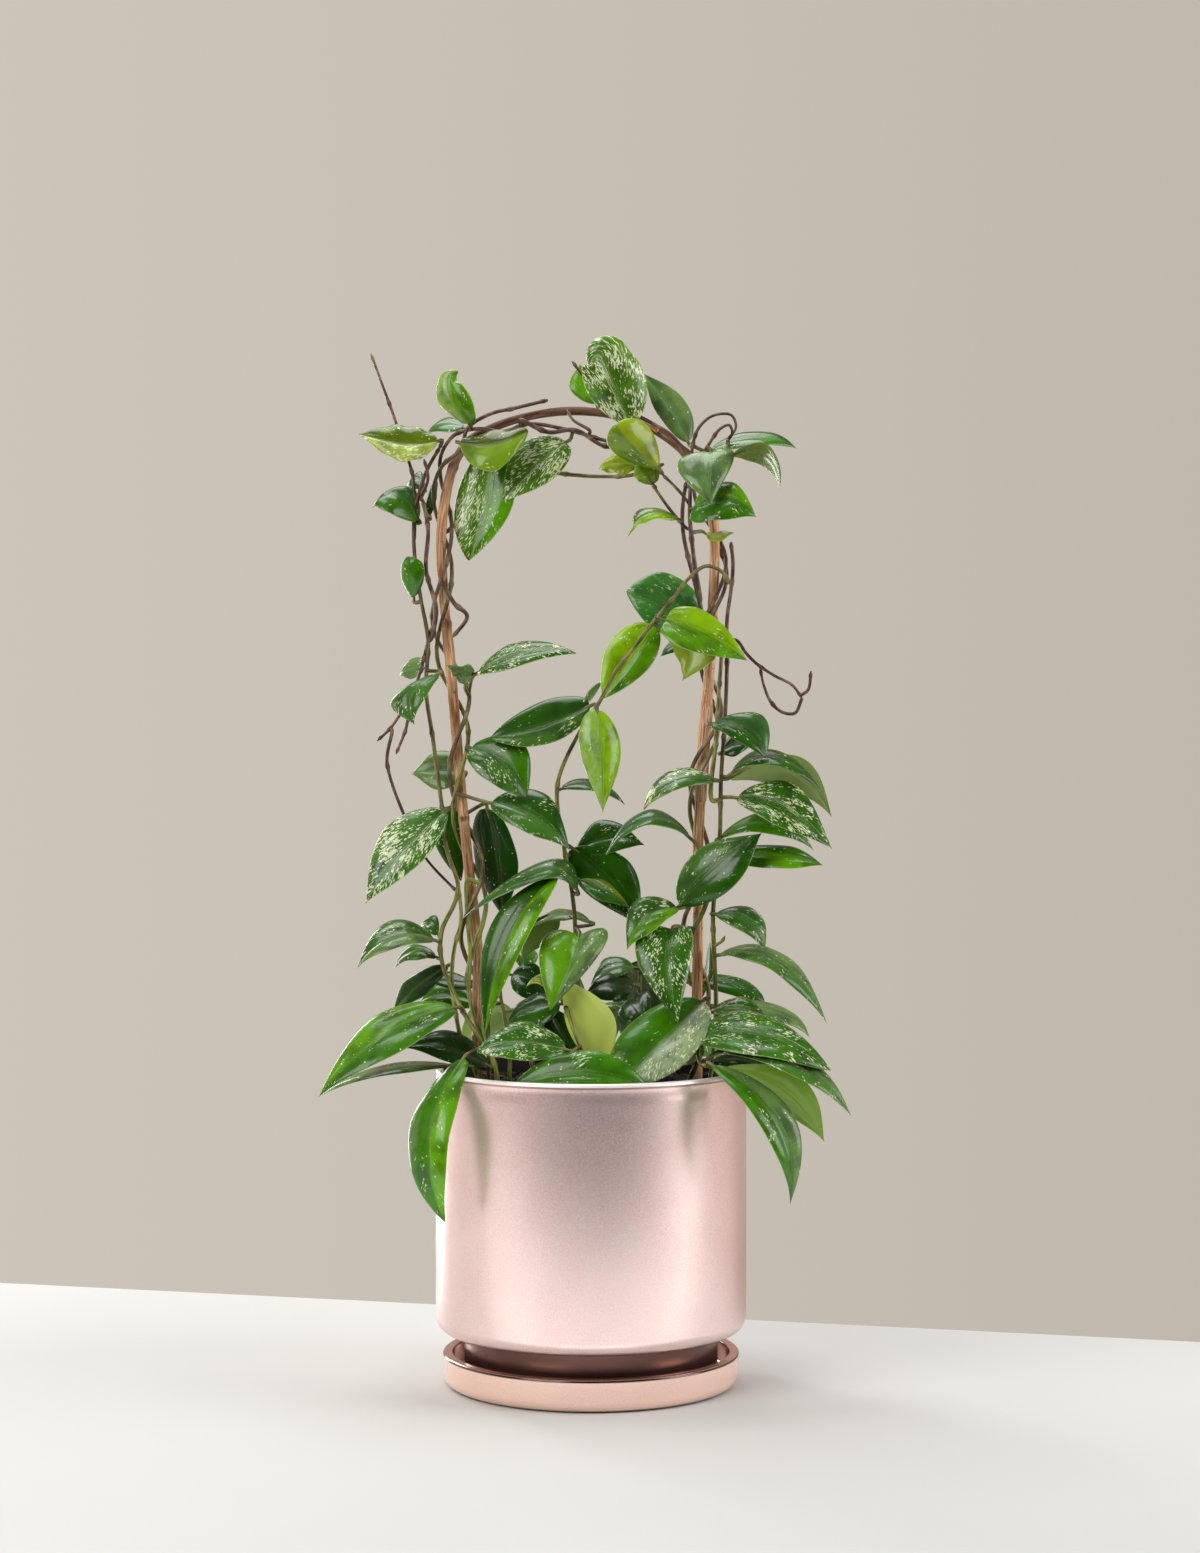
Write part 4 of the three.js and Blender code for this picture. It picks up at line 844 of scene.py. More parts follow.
class Builder:
    """Gathers the points, faces and per-point attributes of one piece."""

    def __init__(self, *keys):
        self.points = []
        self.faces = []
        self.attributes = {key: [] for key in keys}
        self.count = 0

    def put(self, points, faces, **attributes):
        self.faces += [tuple(i + self.count for i in face) for face in faces]
        self.points.append(np.asarray(points))
        for key, values in attributes.items():
            self.attributes[key].append(np.asarray(values))
        self.count += len(points)

    def piece(self, name, material, node, slot):
        points = np.concatenate(self.points)
        attributes = {key: np.concatenate(values) for key, values in self.attributes.items()}
        return new_piece(name, points, self.faces, material, node, attributes)


def band(lower, upper):
    """The four-sided faces between two rings of points, given by their numbers."""
    pairs = list(zip(lower, upper))
    return [(a, b, d, c) for (a, c), (b, d) in zip(pairs, pairs[1:] + pairs[:1])]


# Turned pieces: the profile's (radius, height) pairs start and end on the axis, or close
def arc(centre_r, centre_h, radius, start, end, steps=10):
    """Places on a round of a profile. Its angles are 0 outwards and 90 upwards."""
    angles = np.radians(np.linspace(start, end, steps + 1))
    return [(centre_r + radius * math.cos(a), centre_h + radius * math.sin(a)) for a in angles]


def turned(profile, sides=160):
    """Points and faces of a turned form. Points on the axis are drawn once, and a profile that ends
    where it starts closes on itself."""
    closes = np.allclose(profile[0], profile[-1])
    rings = profile[:-1] if closes else profile
    points, rows = [], []
    for radius, height in rings:
        if radius < 1e-6:
            rows.append([len(points)] * sides)
            points.append((0, 0, height))
            continue
        rows.append([len(points) + i for i in range(sides)])
        for i in range(sides):
            angle = 2 * math.pi * i / sides
            points.append((radius * math.cos(angle), radius * math.sin(angle), height))
    faces = []
    for lower, upper in zip(rows, rows[1:] + ([rows[0]] if closes else [])):
        faces += [tuple(dict.fromkeys(corners)) for corners in band(lower, upper)]
    return points, faces


def make_saucer():
    top = SAUCER["height"]
    inner = SAUCER["radius"] - SAUCER["wall"]
    corner = SAUCER["corner_round"]
    outer_edge = SAUCER["outer_edge_round"]
    inner_edge = SAUCER["inner_edge_round"]
    floor_round = SAUCER["floor_round"]
    profile = [
        (0, 0),
        *arc(SAUCER["foot_radius"], corner, corner, -90, 0),
        *arc(SAUCER["radius"] - outer_edge, top - outer_edge, outer_edge, 0, 90, 8),
        *arc(inner + inner_edge, top - inner_edge, inner_edge, 90, 180, 8),
        *arc(inner - floor_round, SAUCER["floor"] + floor_round, floor_round, 0, -90),
        (0, SAUCER["floor"]),
    ]
    points, faces = turned(profile)
    glaze = copper_glaze_material()
    piece = new_piece("saucer_glazed", points, faces, glaze, "saucer")
    keep_faces_flat(piece)


def keep_faces_flat(piece):
    """Keeps the broad flat faces of a turned form flat beside its tight rounds."""
    piece.modifiers.new("flat_faces_stay_flat", "WEIGHTED_NORMAL")


def make_pot():
    radius = POT["radius"]
    inner = radius - POT["wall"]
    foot_inner = POT["foot_radius"] - POT["wall"]
    foot_bottom = SAUCER["floor"] + TOUCH_GAP
    floor_top = foot_bottom + POT["floor"]
    step_top = POT["body_bottom"] + POT["wall"]
    foot = POT["foot_radius"]
    foot_edge = POT["foot_edge"]
    body_bottom = POT["body_bottom"]
    shoulder = POT["shoulder"]
    corner = POT["corner_round"]
    lip = POT["lip_round"]
    edge = POT["edge_round"]
    waist = POT["waist"]
    top = POT["rim_top"]
    profile = [
        (POT["drain_radius"], foot_bottom),
        (foot - foot_edge, foot_bottom),
        (foot, foot_bottom + foot_edge),
        (foot, body_bottom - shoulder),
        (foot + shoulder, body_bottom),
        *arc(radius - corner, body_bottom + corner, corner, -90, 0, 14),
        # Rings on the straight wall
        *[(radius, height) for height in (90, 140, top - 14)],
        # A shallow waist runs round below the lip
        (radius - 0.6 * waist, top - 10), (radius - waist, top - 7), (radius - 0.6 * waist, top - 4.5),
        *arc(radius - edge, top - edge, edge, 0, 90, 8),
        *arc(inner + lip, top - lip, lip, 90, 180, 8),
        (inner, step_top + POT["inner_slope"]),
        (inner - POT["inner_slope"], step_top),
        (foot_inner, step_top),
        (foot_inner, floor_top),
        (POT["drain_radius"], floor_top),
        (POT["drain_radius"], foot_bottom),
    ]
    points, faces = turned(profile)
    piece = new_piece("pot_glazed", points, faces, pearl_glaze_material(), "pot")
    keep_faces_flat(piece)


def soil_height(x, y):
    """The top of the mix: a broad unevenness, clods and crumbs."""
    low = SOIL["lump"] * math.sin(0.14 * x + 0.9) * math.cos(0.12 * y - 0.4)
    clods = 1.6 * noise.noise(Vector((x * 0.12, y * 0.12, 3.1)))
    crumbs = 1.0 * noise.noise(Vector((x * 0.45, y * 0.45, 7.7)))
    fine = 0.5 * noise.noise(Vector((x * 1.1, y * 1.1, 1.3)))
    return SOIL["top"] + low + clods + crumbs + fine


def bark_chip(x, y, size, turn, tilt):
    """The eight corners and six faces of a bit of bark that lies on the mix."""
    thick = size * BARK_CHIPS["flatness"]
    half = np.array([size, size * dice.uniform(0.45, 0.8), thick])
    corners = []
    for k in range(8):
        signs = np.array([1 if k & 1 else -1, 1 if k & 2 else -1, 1 if k & 4 else -1])
        corners.append(signs * half * dice.uniform(0.75, 1.1))
    corners = np.array(corners)
    cos_t, sin_t = math.cos(tilt), math.sin(tilt)
    corners = corners @ np.array([[1, 0, 0], [0, cos_t, sin_t], [0, -sin_t, cos_t]])
    cos_a, sin_a = math.cos(turn), math.sin(turn)
    corners = corners @ np.array([[cos_a, sin_a, 0], [-sin_a, cos_a, 0], [0, 0, 1]])
    corners += np.array([x, y, soil_height(x, y) + thick * 0.4])
    faces = [(0, 2, 3, 1), (4, 5, 7, 6), (0, 1, 5, 4), (2, 6, 7, 3), (0, 4, 6, 2), (1, 3, 7, 5)]
    return corners, faces


def make_soil():
    radius = POT["radius"] - POT["wall"] - TOUCH_GAP
    foot_radius = POT["foot_radius"] - POT["wall"] - TOUCH_GAP
    bottom = SAUCER["floor"] + POT["floor"] + 2 * TOUCH_GAP
    step = POT["body_bottom"] + POT["wall"] + TOUCH_GAP
    slope = POT["inner_slope"]
    count = SOIL["rings"]
    rings = [radius * (1 - (i / count) ** 1.1) for i in range(count)]
    profile = [(0, bottom), (foot_radius, bottom), (foot_radius, step), (radius - slope, step),
               (radius, step + slope), *[(ring, SOIL["top"]) for ring in rings], (0, SOIL["top"])]
    points, faces = turned(profile, SOIL["sides"])
    slope_width = SOIL["slopes_within"]
    ground = []
    for x, y, z in points:
        if z >= SOIL["top"]:
            near_wall = max(0.0, math.hypot(x, y) - (radius - slope_width)) / slope_width
            z = soil_height(x, y) - (SOIL["top"] - SOIL["edge"]) * near_wall
        ground.append((x, y, z))
    mix = Builder("tone")
    mix.put(ground, faces, tone=[linear("#241a14")] * len(ground))
    for _ in range(BARK_CHIPS["count"]):
        reach = radius * BARK_CHIPS["spread"] * math.sqrt(dice.random())
        angle = dice.uniform(0, 2 * math.pi)
        x, y = reach * math.cos(angle), reach * math.sin(angle)
        size = dice.uniform(BARK_CHIPS["smallest"], BARK_CHIPS["largest"])
        turn, tilt = dice.uniform(0, 6.3), dice.uniform(-0.5, 0.5)
        chip, sides = bark_chip(x, y, size, turn, tilt)
        shade = dice.choice(BARK_CHIPS["colours"])
        mix.put(chip, sides, tone=[linear(shade)] * len(chip))
    mix.piece("potting_mix_surface", potting_mix_material(), "soil", "potting_mix")


# Curves
def smooth(points, spacing=1.5):
    """A centripetal curve through the points, as places about a spacing apart."""
    p = np.array(points, float)
    p = np.vstack([2 * p[0] - p[1], p, 2 * p[-1] - p[-2]])
    out = []
    for i in range(len(p) - 3):
        p0, p1, p2, p3 = p[i:i + 4]
        pairs = [(p0, p1), (p1, p2), (p2, p3)]
        d0, d1, d2 = [max(np.linalg.norm(b - a), 1e-8) ** 0.5 for a, b in pairs]
        t1 = ((p1 - p0) / d0 - (p2 - p0) / (d0 + d1) + (p2 - p1) / d1) * d1
        t2 = ((p2 - p1) / d1 - (p3 - p1) / (d1 + d2) + (p3 - p2) / d2) * d1
        t = np.linspace(0, 1, 24, endpoint=False)[:, None]
        square = -3 * p1 + 3 * p2 - 2 * t1 - t2
        cube = 2 * p1 - 2 * p2 + t1 + t2
        out.append(p1 + t1 * t + square * t**2 + cube * t**3)
    out.append(p[-2][None])
    return evenly(np.vstack(out), spacing)


def lengths_along(places):
    """How far along the curve each of its places is."""
    steps = np.linalg.norm(np.diff(places, axis=0), axis=1)
    return np.concatenate([[0], np.cumsum(steps)])


def evenly(places, spacing):
    """Places on the same curve, all about a spacing apart."""
    run = lengths_along(places)
    count = max(2, int(math.ceil(run[-1] / spacing)) + 1)
    wanted = np.linspace(0, run[-1], count)
    return np.stack([np.interp(wanted, run, places[:, k]) for k in range(3)], axis=1)


def frames_along(places):
    """Two directions across a curve at each place, which turn as little as they can."""
    tangents = np.gradient(places, axis=0)
    tangents /= np.linalg.norm(tangents, axis=1)[:, None]
    # Any direction that no curve starts along
    side = np.cross(tangents[0], [0.3, 1, 0.2])
    first = []
    for tangent in tangents:
        side = side - tangent * side.dot(tangent)
        side /= np.linalg.norm(side)
        first.append(side)
    first = np.array(first)
    return first, np.cross(tangents, first)


def tube(builder, places, radii, tones, sides, seed):
    """A round stem along the curve, closed at both ends."""
    first, second = frames_along(places)
    run = lengths_along(places)
    angles = np.linspace(0, 2 * math.pi, sides, endpoint=False)
    ring = np.stack([np.cos(angles), np.sin(angles)], axis=1)
    across = ring[None, :, 0, None] * first[:, None] + ring[None, :, 1, None] * second[:, None]
    points = (places[:, None] + across * np.asarray(radii)[:, None, None]).reshape(-1, 3)
    count = len(places)
    rows = np.arange(count * sides).reshape(count, sides).tolist()
    # The bark's pattern lies in millimetres along the stem and across it, shifted by the seed
    rind = np.stack([
        np.repeat(run, sides) + seed,
        np.tile(np.cos(angles), count) * np.repeat(radii, sides) + seed,
        np.tile(np.sin(angles), count) * np.repeat(radii, sides),
    ], axis=1)
    faces = []
    for lower, upper in zip(rows, rows[1:]):
        faces += band(lower, upper)
    faces.append(tuple(reversed(rows[0])))
    faces.append(tuple(rows[-1]))
    builder.put(points, faces, rind=rind, tone=np.repeat(tones, sides, axis=0))


# The hoop
foot_heights = [CANE["bottom"], 120, SOIL["top"] - 10, SOIL["top"] + 6]
left_foot = [(CANE["left_x"], 0, z) for z in foot_heights]
right_foot = [(CANE["right_x"], 0, z) for z in reversed(foot_heights)]
cane_line = smooth(left_foot + [seen(place) for place in CANE_ROUTE] + right_foot)
cane_run = lengths_along(cane_line)


def cane_at(share):
    """The place and the direction at a share of the cane's length."""
    wanted = share * cane_run[-1]
    place = np.array([np.interp(wanted, cane_run, cane_line[:, k]) for k in range(3)])
    ahead = np.array([np.interp(wanted + 2, cane_run, cane_line[:, k]) for k in range(3)])
    behind = np.array([np.interp(wanted - 2, cane_run, cane_line[:, k]) for k in range(3)])
    direction = ahead - behind
    return place, direction / np.linalg.norm(direction)


def swell(run, centre, height, width):
    """A soft ring round a stem, highest at its centre."""
    return height * np.exp(-(((run - centre) / width) ** 2))


def make_hoop():
    arch = np.clip((cane_line[:, 2] - CANE["thins_from"]) / CANE["thins_over"], 0, 1)
    radii = CANE["leg_radius"] + (CANE["arch_radius"] - CANE["leg_radius"]) * arch
    radii = radii + [0.22 * noise.noise(Vector((r * 0.03, 5.5, 0))) for r in cane_run]
    for joint in CANE_JOINTS:
        radii += swell(cane_run, joint, 0.55, 2.2) - swell(cane_run, joint + 4, 0.25, 3)
    tan, brown = np.array(linear("#f0c8a0")), np.array(linear("#7c5e4c"))
    tones = tan + (brown - tan) * arch[:, None]
    for joint in CANE_JOINTS:
        dark = swell(cane_run, joint, 0.6, 1.6)[:, None]
        tones = tones * (1 - dark) + brown * dark
    # The sleeve of old bark is pale and a little thicker, with torn ends
    torn = [2.5 * noise.noise(Vector((z * 0.4, 9.1, 0))) for z in cane_line[:, 2]]
    sleeve_low, sleeve_high = [seen(place)[2] for place in CANE_SLEEVE]
    sleeve = np.clip((cane_line[:, 2] - sleeve_low + torn) / 2, 0, 1)
    sleeve *= np.clip((sleeve_high - cane_line[:, 2] + torn) / 6, 0, 1) * (cane_line[:, 0] > 0)
    radii += 0.8 * sleeve
    tones += (np.array(linear("#e6c2b0")) - tones) * 0.6 * sleeve[:, None]
    hoop = Builder("rind", "tone")
    tube(hoop, cane_line, radii, tones, CANE["sides"], 0.0)
    stub = smooth([seen(place) for place in CANE_STUB], 0.8)
    tube(hoop, stub, np.linspace(2.6, 2.1, len(stub)), [tan] * len(stub), 14, 40.0)
    hoop.piece("cane_hoop", cane_material(), "hoop", "cane")


# Stems
def root_points(x, y):
    """The upright foot of a stem, from inside the mix to just above it."""
    foot = SOIL["top"] - SOIL["root_depth"]
    return [(x, y, foot + rise) for rise in (0, 8, 16, SOIL["root_depth"], SOIL["root_depth"] + 5)]


def twined_points(plan):
    """A stem that twines round the cane: it starts straight up out of the soil beside it."""
    closest = CANE["closest"] + STEM["radius"] + TWINE_GAP
    back = np.array([0.0, 1.0, 0.0])
    # Eight points to a turn
    count = math.ceil(abs(plan["turns"]) * 8)
    points = []
    for i in range(count + 1):
        share = i / count
        place, direction = cane_at(plan["start"] + (plan["end"] - plan["start"]) * share)
        angle = math.radians(plan["phase"] + 360 * plan["turns"] * share)
        side = np.cross(direction, back)
        outward = back * math.cos(angle) + side * math.sin(angle)
        sway = plan["slack"] * (1 - math.cos(5.3 * share * math.pi))
        # The root stands 2 mm further out
        points.append(place + outward * (closest + sway + (2 if i == 0 else 0)))
    foot = root_points(points[0][0], points[0][1]) if plan.get("rooted") else []
    return foot + points[1:] + [seen(place) for place in plan.get("tail", [])]


def clear_curve(places, onward, radius):
    """The shortest curve from the stems' places to a point that keeps clear of the cane."""
    distances = np.linalg.norm(places - onward[0], axis=1)
    order = np.argsort(distances)[::3][:100]
    first = None
    for index in order:
        line = smooth([places[index], *onward], 1.0)
        first = line if first is None else first
        gaps = np.linalg.norm(line[::4, None] - cane_line[None, ::2], axis=2)
        if gaps.min() > CANE["closest"] + radius + 0.5:
            return line
    return first


def strand_lines(vine):
    """Each strand's curve, and all the places on the vine's stems above the soil."""
    plans = [dict(plan, form=STEM, points=twined_points(plan)) for plan in vine.get("twined", [])]
    for plan in vine["strands"]:
        points = [seen(place) for place in plan["path"]]
        if "root" in plan:
            points = root_points(*plan["root"]) + points
        form = RUNNER if plan.get("runner") else STEM
        plans.append(dict(plan, form=form, points=points, rooted="root" in plan))
    places = np.zeros((0, 3))
    for plan in plans:
        if plan.get("rooted"):
            plan["line"] = smooth(plan["points"])
        else:
            plan["line"] = clear_curve(places, plan["points"], plan["form"]["radius"])
        above = plan["line"][plan["line"][:, 2] > SOIL["top"] + 4]
        places = np.vstack([places, above])
    return plans, places


def stem_tones(words, count):
    """The colours along a stem, from the first word at its start to the second at its end."""
    start, end = [np.array(linear(TONES[word])) for word in words.split()]
    share = np.linspace(0, 1, count)[:, None]
    eased = share * share * (3 - 2 * share)
    return start + (end - start) * eased


def make_stem(builder, plan):
    """A stem that tapers along its curve, with a low ring at each joint."""
    line = plan["line"]
    run = lengths_along(line)
    form = plan["form"]
    taper = 1 - 0.25 * run / max(run[-1], 1)
    wander = [0.12 * noise.noise(Vector((r * 0.05, line[0][0], 2.0))) for r in run]
    radii = form["radius"] * taper + wander
    joint = dice.uniform(*STEM_JOINTS["first"])
    while joint < run[-1] - 3:
        radii += swell(run, joint, STEM_JOINTS["height"], STEM_JOINTS["width"])
        joint += dice.uniform(*STEM_JOINTS["apart"])
    radii += swell(run, run[-1], -0.5, 1.2) + swell(run, run[-1] - 3, 0.35, 1.5)
    tones = stem_tones(plan["tones"], len(line))
    tube(builder, line, np.maximum(radii, 0.35), tones, form["sides"], dice.uniform(0, 900))


# Leaves
def blade_width(outline, along):
    """The blade's width at places along it, as a share of the widest."""
    base, tip, widest = OUTLINES[outline]
    stretched = np.clip(along, 1e-4, 1 - 1e-4) ** (math.log(0.5) / math.log(widest))
    return np.sin(math.pi * stretched) ** (base + (tip - base) * along)


def blade_sheet(leaf, along, across, lift):
    """Places on the blade: along from 0 at the base to 1 at the tip, across from -1 to 1."""
    base, crest, tip = leaf["base"], leaf["crest"], leaf["tip"]
    bend = 2 * crest - (base + tip) / 2
    t = along[:, None, None]
    u = across[None, :, None]
    centre = base * (1 - t) ** 2 + 2 * bend * t * (1 - t) + tip * t**2
    tangent = 2 * (bend - base) * (1 - t) + 2 * (tip - bend) * t
    up = np.cross(tangent, leaf["left"] - leaf["right"])
    up /= np.linalg.norm(up, axis=-1)[..., None]
    margin = np.where(u < 0, leaf["left"] - crest, leaf["right"] - crest)
    reach = np.linalg.norm(margin, axis=-1)[..., None]
    share = np.abs(u)
    width = blade_width(leaf["outline"], t)
    belly = BLADE["belly"] * 4 * share * (1 - share) * reach * width
    swing = np.sin(2 * math.pi * (leaf["waves"] * t) + leaf["shift"] + u)
    wave = leaf["wave"] * share**2 * width * swing
    thick = 0.5 * BLADE["thickness"] * np.sqrt(np.clip(1 - share**5, 0, 1)) * np.clip(width * 3, 0, 1)
    from_rib = share * reach * width / BLADE["groove_width"]
    groove = BLADE["groove_depth"] * np.exp(-(from_rib**2)) * np.clip(width * 2, 0, 1)
    curl = leaf["curl"] * share_beyond(t, BLADE["curls_from"]) ** 2
    rise = belly + wave + lift * thick - groove - curl
    places = centre + margin * share * width + up * rise
    return hooked(places, t, leaf)


def share_beyond(along, start):
    """How far a place lies between the start and the tip, from 0 to 1."""
    return np.clip((along - start) / (1 - start), 0, 1)


def hooked(places, along, leaf):
    """Turns the last part of a blade in its own plane, more towards its tip."""
    angle = math.radians(HOOKED.get(leaf["name"], 0)) * share_beyond(along, BLADE["hooks_from"])
    pivot = 0.42 * leaf["crest"] + 0.58 * leaf["tip"]
    axis = np.cross(leaf["tip"] - leaf["base"], leaf["left"] - leaf["right"])
    axis /= np.linalg.norm(axis)
    arm = places - pivot
    along_axis = axis * (arm @ axis)[..., None]
    cos_a, sin_a = np.cos(angle), np.sin(angle)
    turned_arm = arm * cos_a + np.cross(axis, arm) * sin_a + along_axis * (1 - cos_a)
    return pivot + turned_arm


def make_blade(builder, leaf):
    rows, columns = BLADE["rows"], BLADE["columns"]
    # The rows are closer together at the base and the tip, and the columns at the margins
    along = 0.5 - 0.5 * np.cos(math.pi * np.linspace(0, 1, rows + 1))
    along = 0.5 * along + 0.5 * np.linspace(0, 1, rows + 1)
    across = np.sin(np.linspace(-math.pi / 2, math.pi / 2, columns + 1))
    upper = blade_sheet(leaf, along, across, 1)
    under = blade_sheet(leaf, along, across[1:-1], -1)
    loop = np.concatenate([upper, under[:, ::-1]], axis=1)
    u_loop = np.concatenate([across, across[1:-1][::-1]])
    # 1 on the upper face, 0 underneath and a half on the margins
    face_loop = np.concatenate([[0.5], np.ones(columns - 1), [0.5], np.zeros(columns - 1)])
    around = len(u_loop)
    inner = loop[1:-1].reshape(-1, 3)
    points = np.vstack([inner, loop[0].mean(axis=0), loop[-1].mean(axis=0)])
    t_all = np.concatenate([np.repeat(along[1:-1], around), [0, 1]])
    u_all = np.concatenate([np.tile(u_loop, rows - 1), [0, 0]])
    face_all = np.concatenate([np.tile(face_loop, rows - 1), [0.5, 0.5]])

    faces = []
    loops = np.arange(len(inner)).reshape(-1, around).tolist()
    for lower, upper in zip(loops, loops[1:]):
        faces += band(lower, upper)
    base_index, tip_index = len(points) - 2, len(points) - 1
    for i in range(around):
        j = (i + 1) % around
        faces.append((base_index, loops[0][j], loops[0][i]))
        faces.append((tip_index, loops[-1][i], loops[-1][j]))

    length = np.linalg.norm(leaf["crest"] - leaf["base"]) + np.linalg.norm(leaf["tip"] - leaf["crest"])
    half = 0.5 * np.linalg.norm(leaf["left"] - leaf["right"])
    is_left = u_all < 0
    # The pattern's places are in millimetres, and shifted so that no two halves have the same marks
    shift = np.where(is_left, BLADE["halves_apart"], 0)
    blade = np.stack([
        t_all * length + leaf["seed"],
        np.abs(u_all) * blade_width(leaf["outline"], t_all) * half + shift,
        np.full(len(t_all), leaf["seed"] * 0.37),
    ], axis=1)
    form = np.stack([t_all, u_all, face_all], axis=1)
    tone, marks = [], []
    for left in is_left:
        colour, *strengths = leaf["looks"][0 if left else 1]
        tone.append(colour)
        marks.append(strengths)
    builder.put(points, faces, form=form, blade=blade, tone=tone, marks=marks)


def make_petiole(builder, leaf, places):
    """The short stalk, from inside the stem to inside the blade, where it thins out as the midrib."""
    inside = blade_sheet(leaf, np.array([PETIOLE["sunk_in_blade"]]), np.array([0.0]), -0.6)[0, 0]
    lean = leaf["base"] - inside
    lean *= PETIOLE["lean"] / np.linalg.norm(lean)
    line = clear_curve(places, [leaf["base"] + lean, leaf["base"], inside], PETIOLE["radius"])
    run = lengths_along(line)
    left = run[-1] - run
    radii = PETIOLE["radius"] * (0.9 + 0.25 * np.exp(-run / 2.5)) * np.clip(0.3 + left / 11, 0.3, 1)
    young, old = np.array(linear("#7f9440")), np.array(linear("#5f5a35"))
    tones = old + (young - old) * np.clip(run / max(run[-1], 1), 0, 1)[:, None]
    tube(builder, line, radii, tones, PETIOLE["sides"], dice.uniform(0, 900))


def leaf_of(entry):
    """A leaf's places in millimetres, the looks of its halves, and waves of its own."""
    name, look, *places = entry
    base, crest, tip, left, right = [seen(place) for place in places[:5]]
    outline = places[5] if len(places) > 5 else "oval"
    brightness = dice.uniform(0.9, 1.1)
    crinkle = 2.6 if name in CRINKLED else 1.0
    looks = []
    for word in (look.split("/") * 2)[:2]:
        code, flecks, silver, margin = LOOKS[word]
        colour = [value * brightness for value in linear(code)[:3]] + [1.0]
        looks.append((colour, flecks, silver, margin))
    return dict(
        name=name, base=base, crest=crest, tip=tip, left=left, right=right,
        outline=outline, looks=looks, seed=dice.uniform(0, 900),
        wave=dice.uniform(0.3, 0.9) * crinkle, waves=dice.uniform(1.2, 2.4) * crinkle**0.5,
        shift=dice.uniform(0, 6.3), curl=dice.uniform(0.5, 3.0),
    )


def make_vine(vine, leaf_material, stem_material):
    """A leafy stem in two pieces, its stems and its leaves, which replace one node together."""
    plans, places = strand_lines(vine)
    leaves = Builder("form", "blade", "tone", "marks")
    stems = Builder("rind", "tone")
    for plan in plans:
        make_stem(stems, plan)
    for entry in vine["leaves"]:
        leaf = leaf_of(entry)
        make_blade(leaves, leaf)
        make_petiole(stems, leaf, places)
    stems.piece(vine["name"] + "_stems", stem_material, vine["name"], "hoya")
    leaves.piece(vine["name"] + "_leaves", leaf_material, vine["name"], "hoya")


# The stage: a pale table top, a soft studio and the camera. The table's places are in metres.
TABLE = dict(half_width=2.6, front=-0.62, right_back=-0.435, left_back=0.903)


def make_stage():
    """The table's back edge runs askew behind the pot, and its front edge is near."""
    side, front = TABLE["half_width"], TABLE["front"]
    corners = [(-side, front, 0), (side, front, 0), (side, TABLE["right_back"], 0),
               (-side, TABLE["left_back"], 0)]
    mesh = bpy.data.meshes.new("table_top")
    mesh.from_pydata(corners, [], [(0, 1, 2, 3)])
    mesh.materials.append(table_material())
    table = bpy.data.objects.new("table_top", mesh)
    bpy.context.scene.collection.objects.link(table)


# Lamps: name, place, target, width and height, brightness in watts for each square metre, colour
LAMPS = [
    ("key_softbox", (-1.1, -1.3, 1.35), (0, 0, 0.3), (1.2, 1.2), 19, "#fffdf8"),
    ("rim_strip", (-0.75, 1.0, 0.45), (0, 0, 0.2), (0.25, 1.2), 26, "#ffffff"),
    ("left_wall", (-1.7, 0.5, 0.3), (0, 0, 0.2), (1.3, 1.4), 3, "#fff4ee"),
    ("right_wall", (1.6, 0.6, 0.3), (0, 0, 0.2), (1.0, 1.4), 1, "#fff8f4"),
    ("fill_softbox", (1.5, -0.35, 0.8), (0.2, 0, 0.15), (0.9, 1.2), 16, "#ffffff"),
    ("top_softbox", (-0.15, 0.25, 1.6), (0, 0, 0.3), (1.0, 0.9), 17, "#ffffff"),
    ("front_card", (0, -0.33, 0.01), (0, -0.33, 1), (1.8, 0.40), 2.1, "#ffffff"),
]


def make_lamp(name, place, target, size, brightness, code):
    data = bpy.data.lights.new(name, "AREA")
    data.shape = "RECTANGLE"
    data.size, data.size_y = size
    data.energy = brightness * size[0] * size[1]
    data.color = linear(code)[:3]
    lamp = bpy.data.objects.new(name, data)
    lamp.location = place
    lamp.rotation_euler = (Vector(target) - Vector(place)).to_track_quat("-Z", "Y").to_euler()
    lamp.visible_camera = False
    bpy.context.scene.collection.objects.link(lamp)


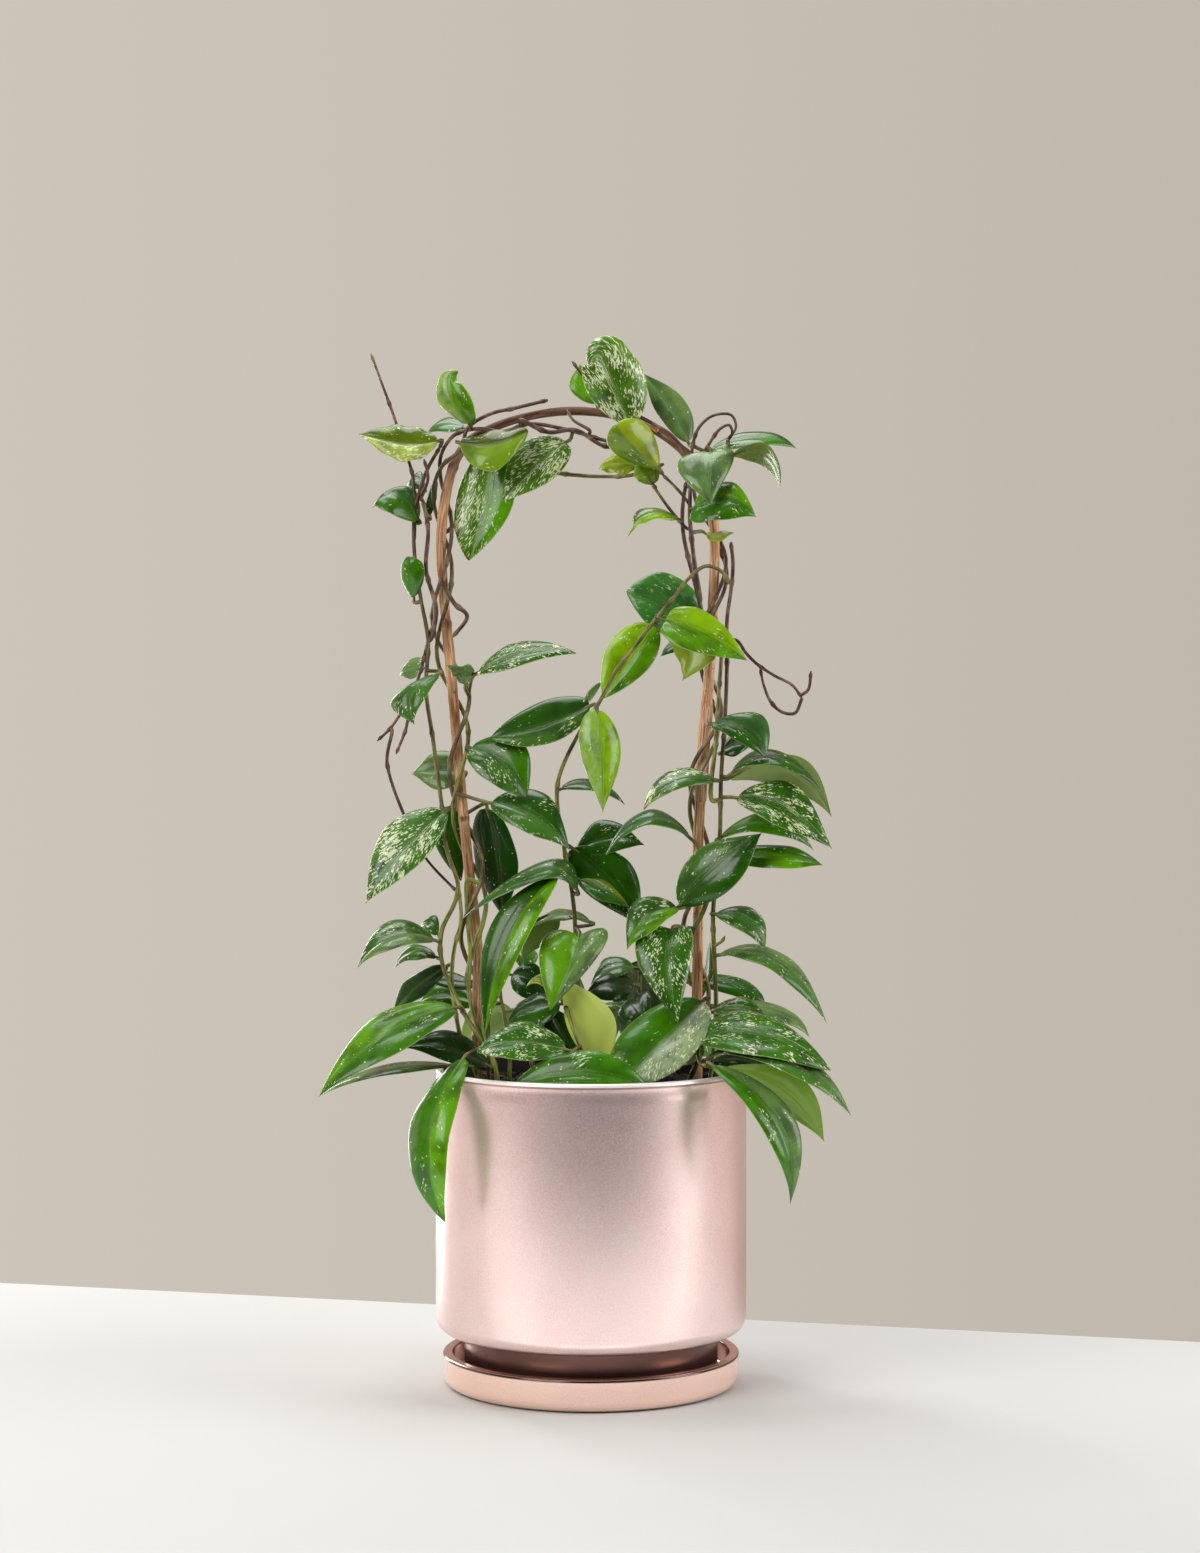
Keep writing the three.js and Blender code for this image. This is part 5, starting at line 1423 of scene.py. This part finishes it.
def make_studio():
    world = bpy.data.worlds.new("warm_grey_studio")
    world.use_nodes = True
    tree = world.node_tree
    tree.nodes.clear()
    # The backdrop is a little lighter on the left. The room that the object reflects is dark behind
    # the camera, warm at the sides and lighter overhead.
    around = add(tree, "TexCoord")
    sideways, forward, upward = [add(tree, "SeparateXYZ", [around], part) for part in (0, 1, 2)]
    wall_share = add(tree, "MapRange", [sideways, -0.20, 0.20])
    wall = add(tree, "Mix", {0: wall_share, 6: linear("#ccc5ba"), 7: linear("#c0b8ac")}, **BLEND)
    side_share = add(tree, "MapRange", [forward, -0.88, -0.20])
    sides = add(tree, "Mix", {0: side_share, 6: linear("#2a2427"), 7: linear("#a99388")}, **BLEND)
    high_share = add(tree, "MapRange", [upward, 0.4, 0.95])
    room = add(tree, "Mix", {0: high_share, 6: sides, 7: linear("#6c6a67")}, **BLEND)
    seen_straight = add(tree, "LightPath", output="Is Camera Ray")
    backdrop = add(tree, "Mix", {0: seen_straight, 6: room, 7: wall}, **BLEND)
    add(tree, "OutputWorld", {"Surface": add(tree, "Background", {"Color": backdrop, "Strength": 1.0})})
    bpy.context.scene.world = world
    for lamp in LAMPS:
        make_lamp(*lamp)


def make_camera():
    """The camera looks straight ahead from the eye, and the shift brings the object into view."""
    data = bpy.data.cameras.new("front_camera")
    points_of_focus = EYE["points_per_mm"] * EYE["distance"]
    data.sensor_width = 36
    data.lens = data.sensor_width * points_of_focus / PICTURE["height"]
    data.shift_y = (PICTURE["horizon"] - PICTURE["height"] / 2) / PICTURE["height"]
    camera = bpy.data.objects.new("front_camera", data)
    camera.location = (EYE["x"] * MM, -EYE["distance"] * MM, EYE["z"] * MM)
    camera.rotation_euler = (math.pi / 2, 0, 0)
    bpy.context.scene.collection.objects.link(camera)
    bpy.context.scene.camera = camera
    bpy.context.scene.view_settings.view_transform = "Standard"


make_camera()
make_studio()
make_stage()
make_saucer()
make_pot()
make_soil()
make_hoop()
leaf_material = hoya_leaf_material()
stem_material = hoya_stem_material()
for vine in VINES:
    make_vine(vine, leaf_material, stem_material)
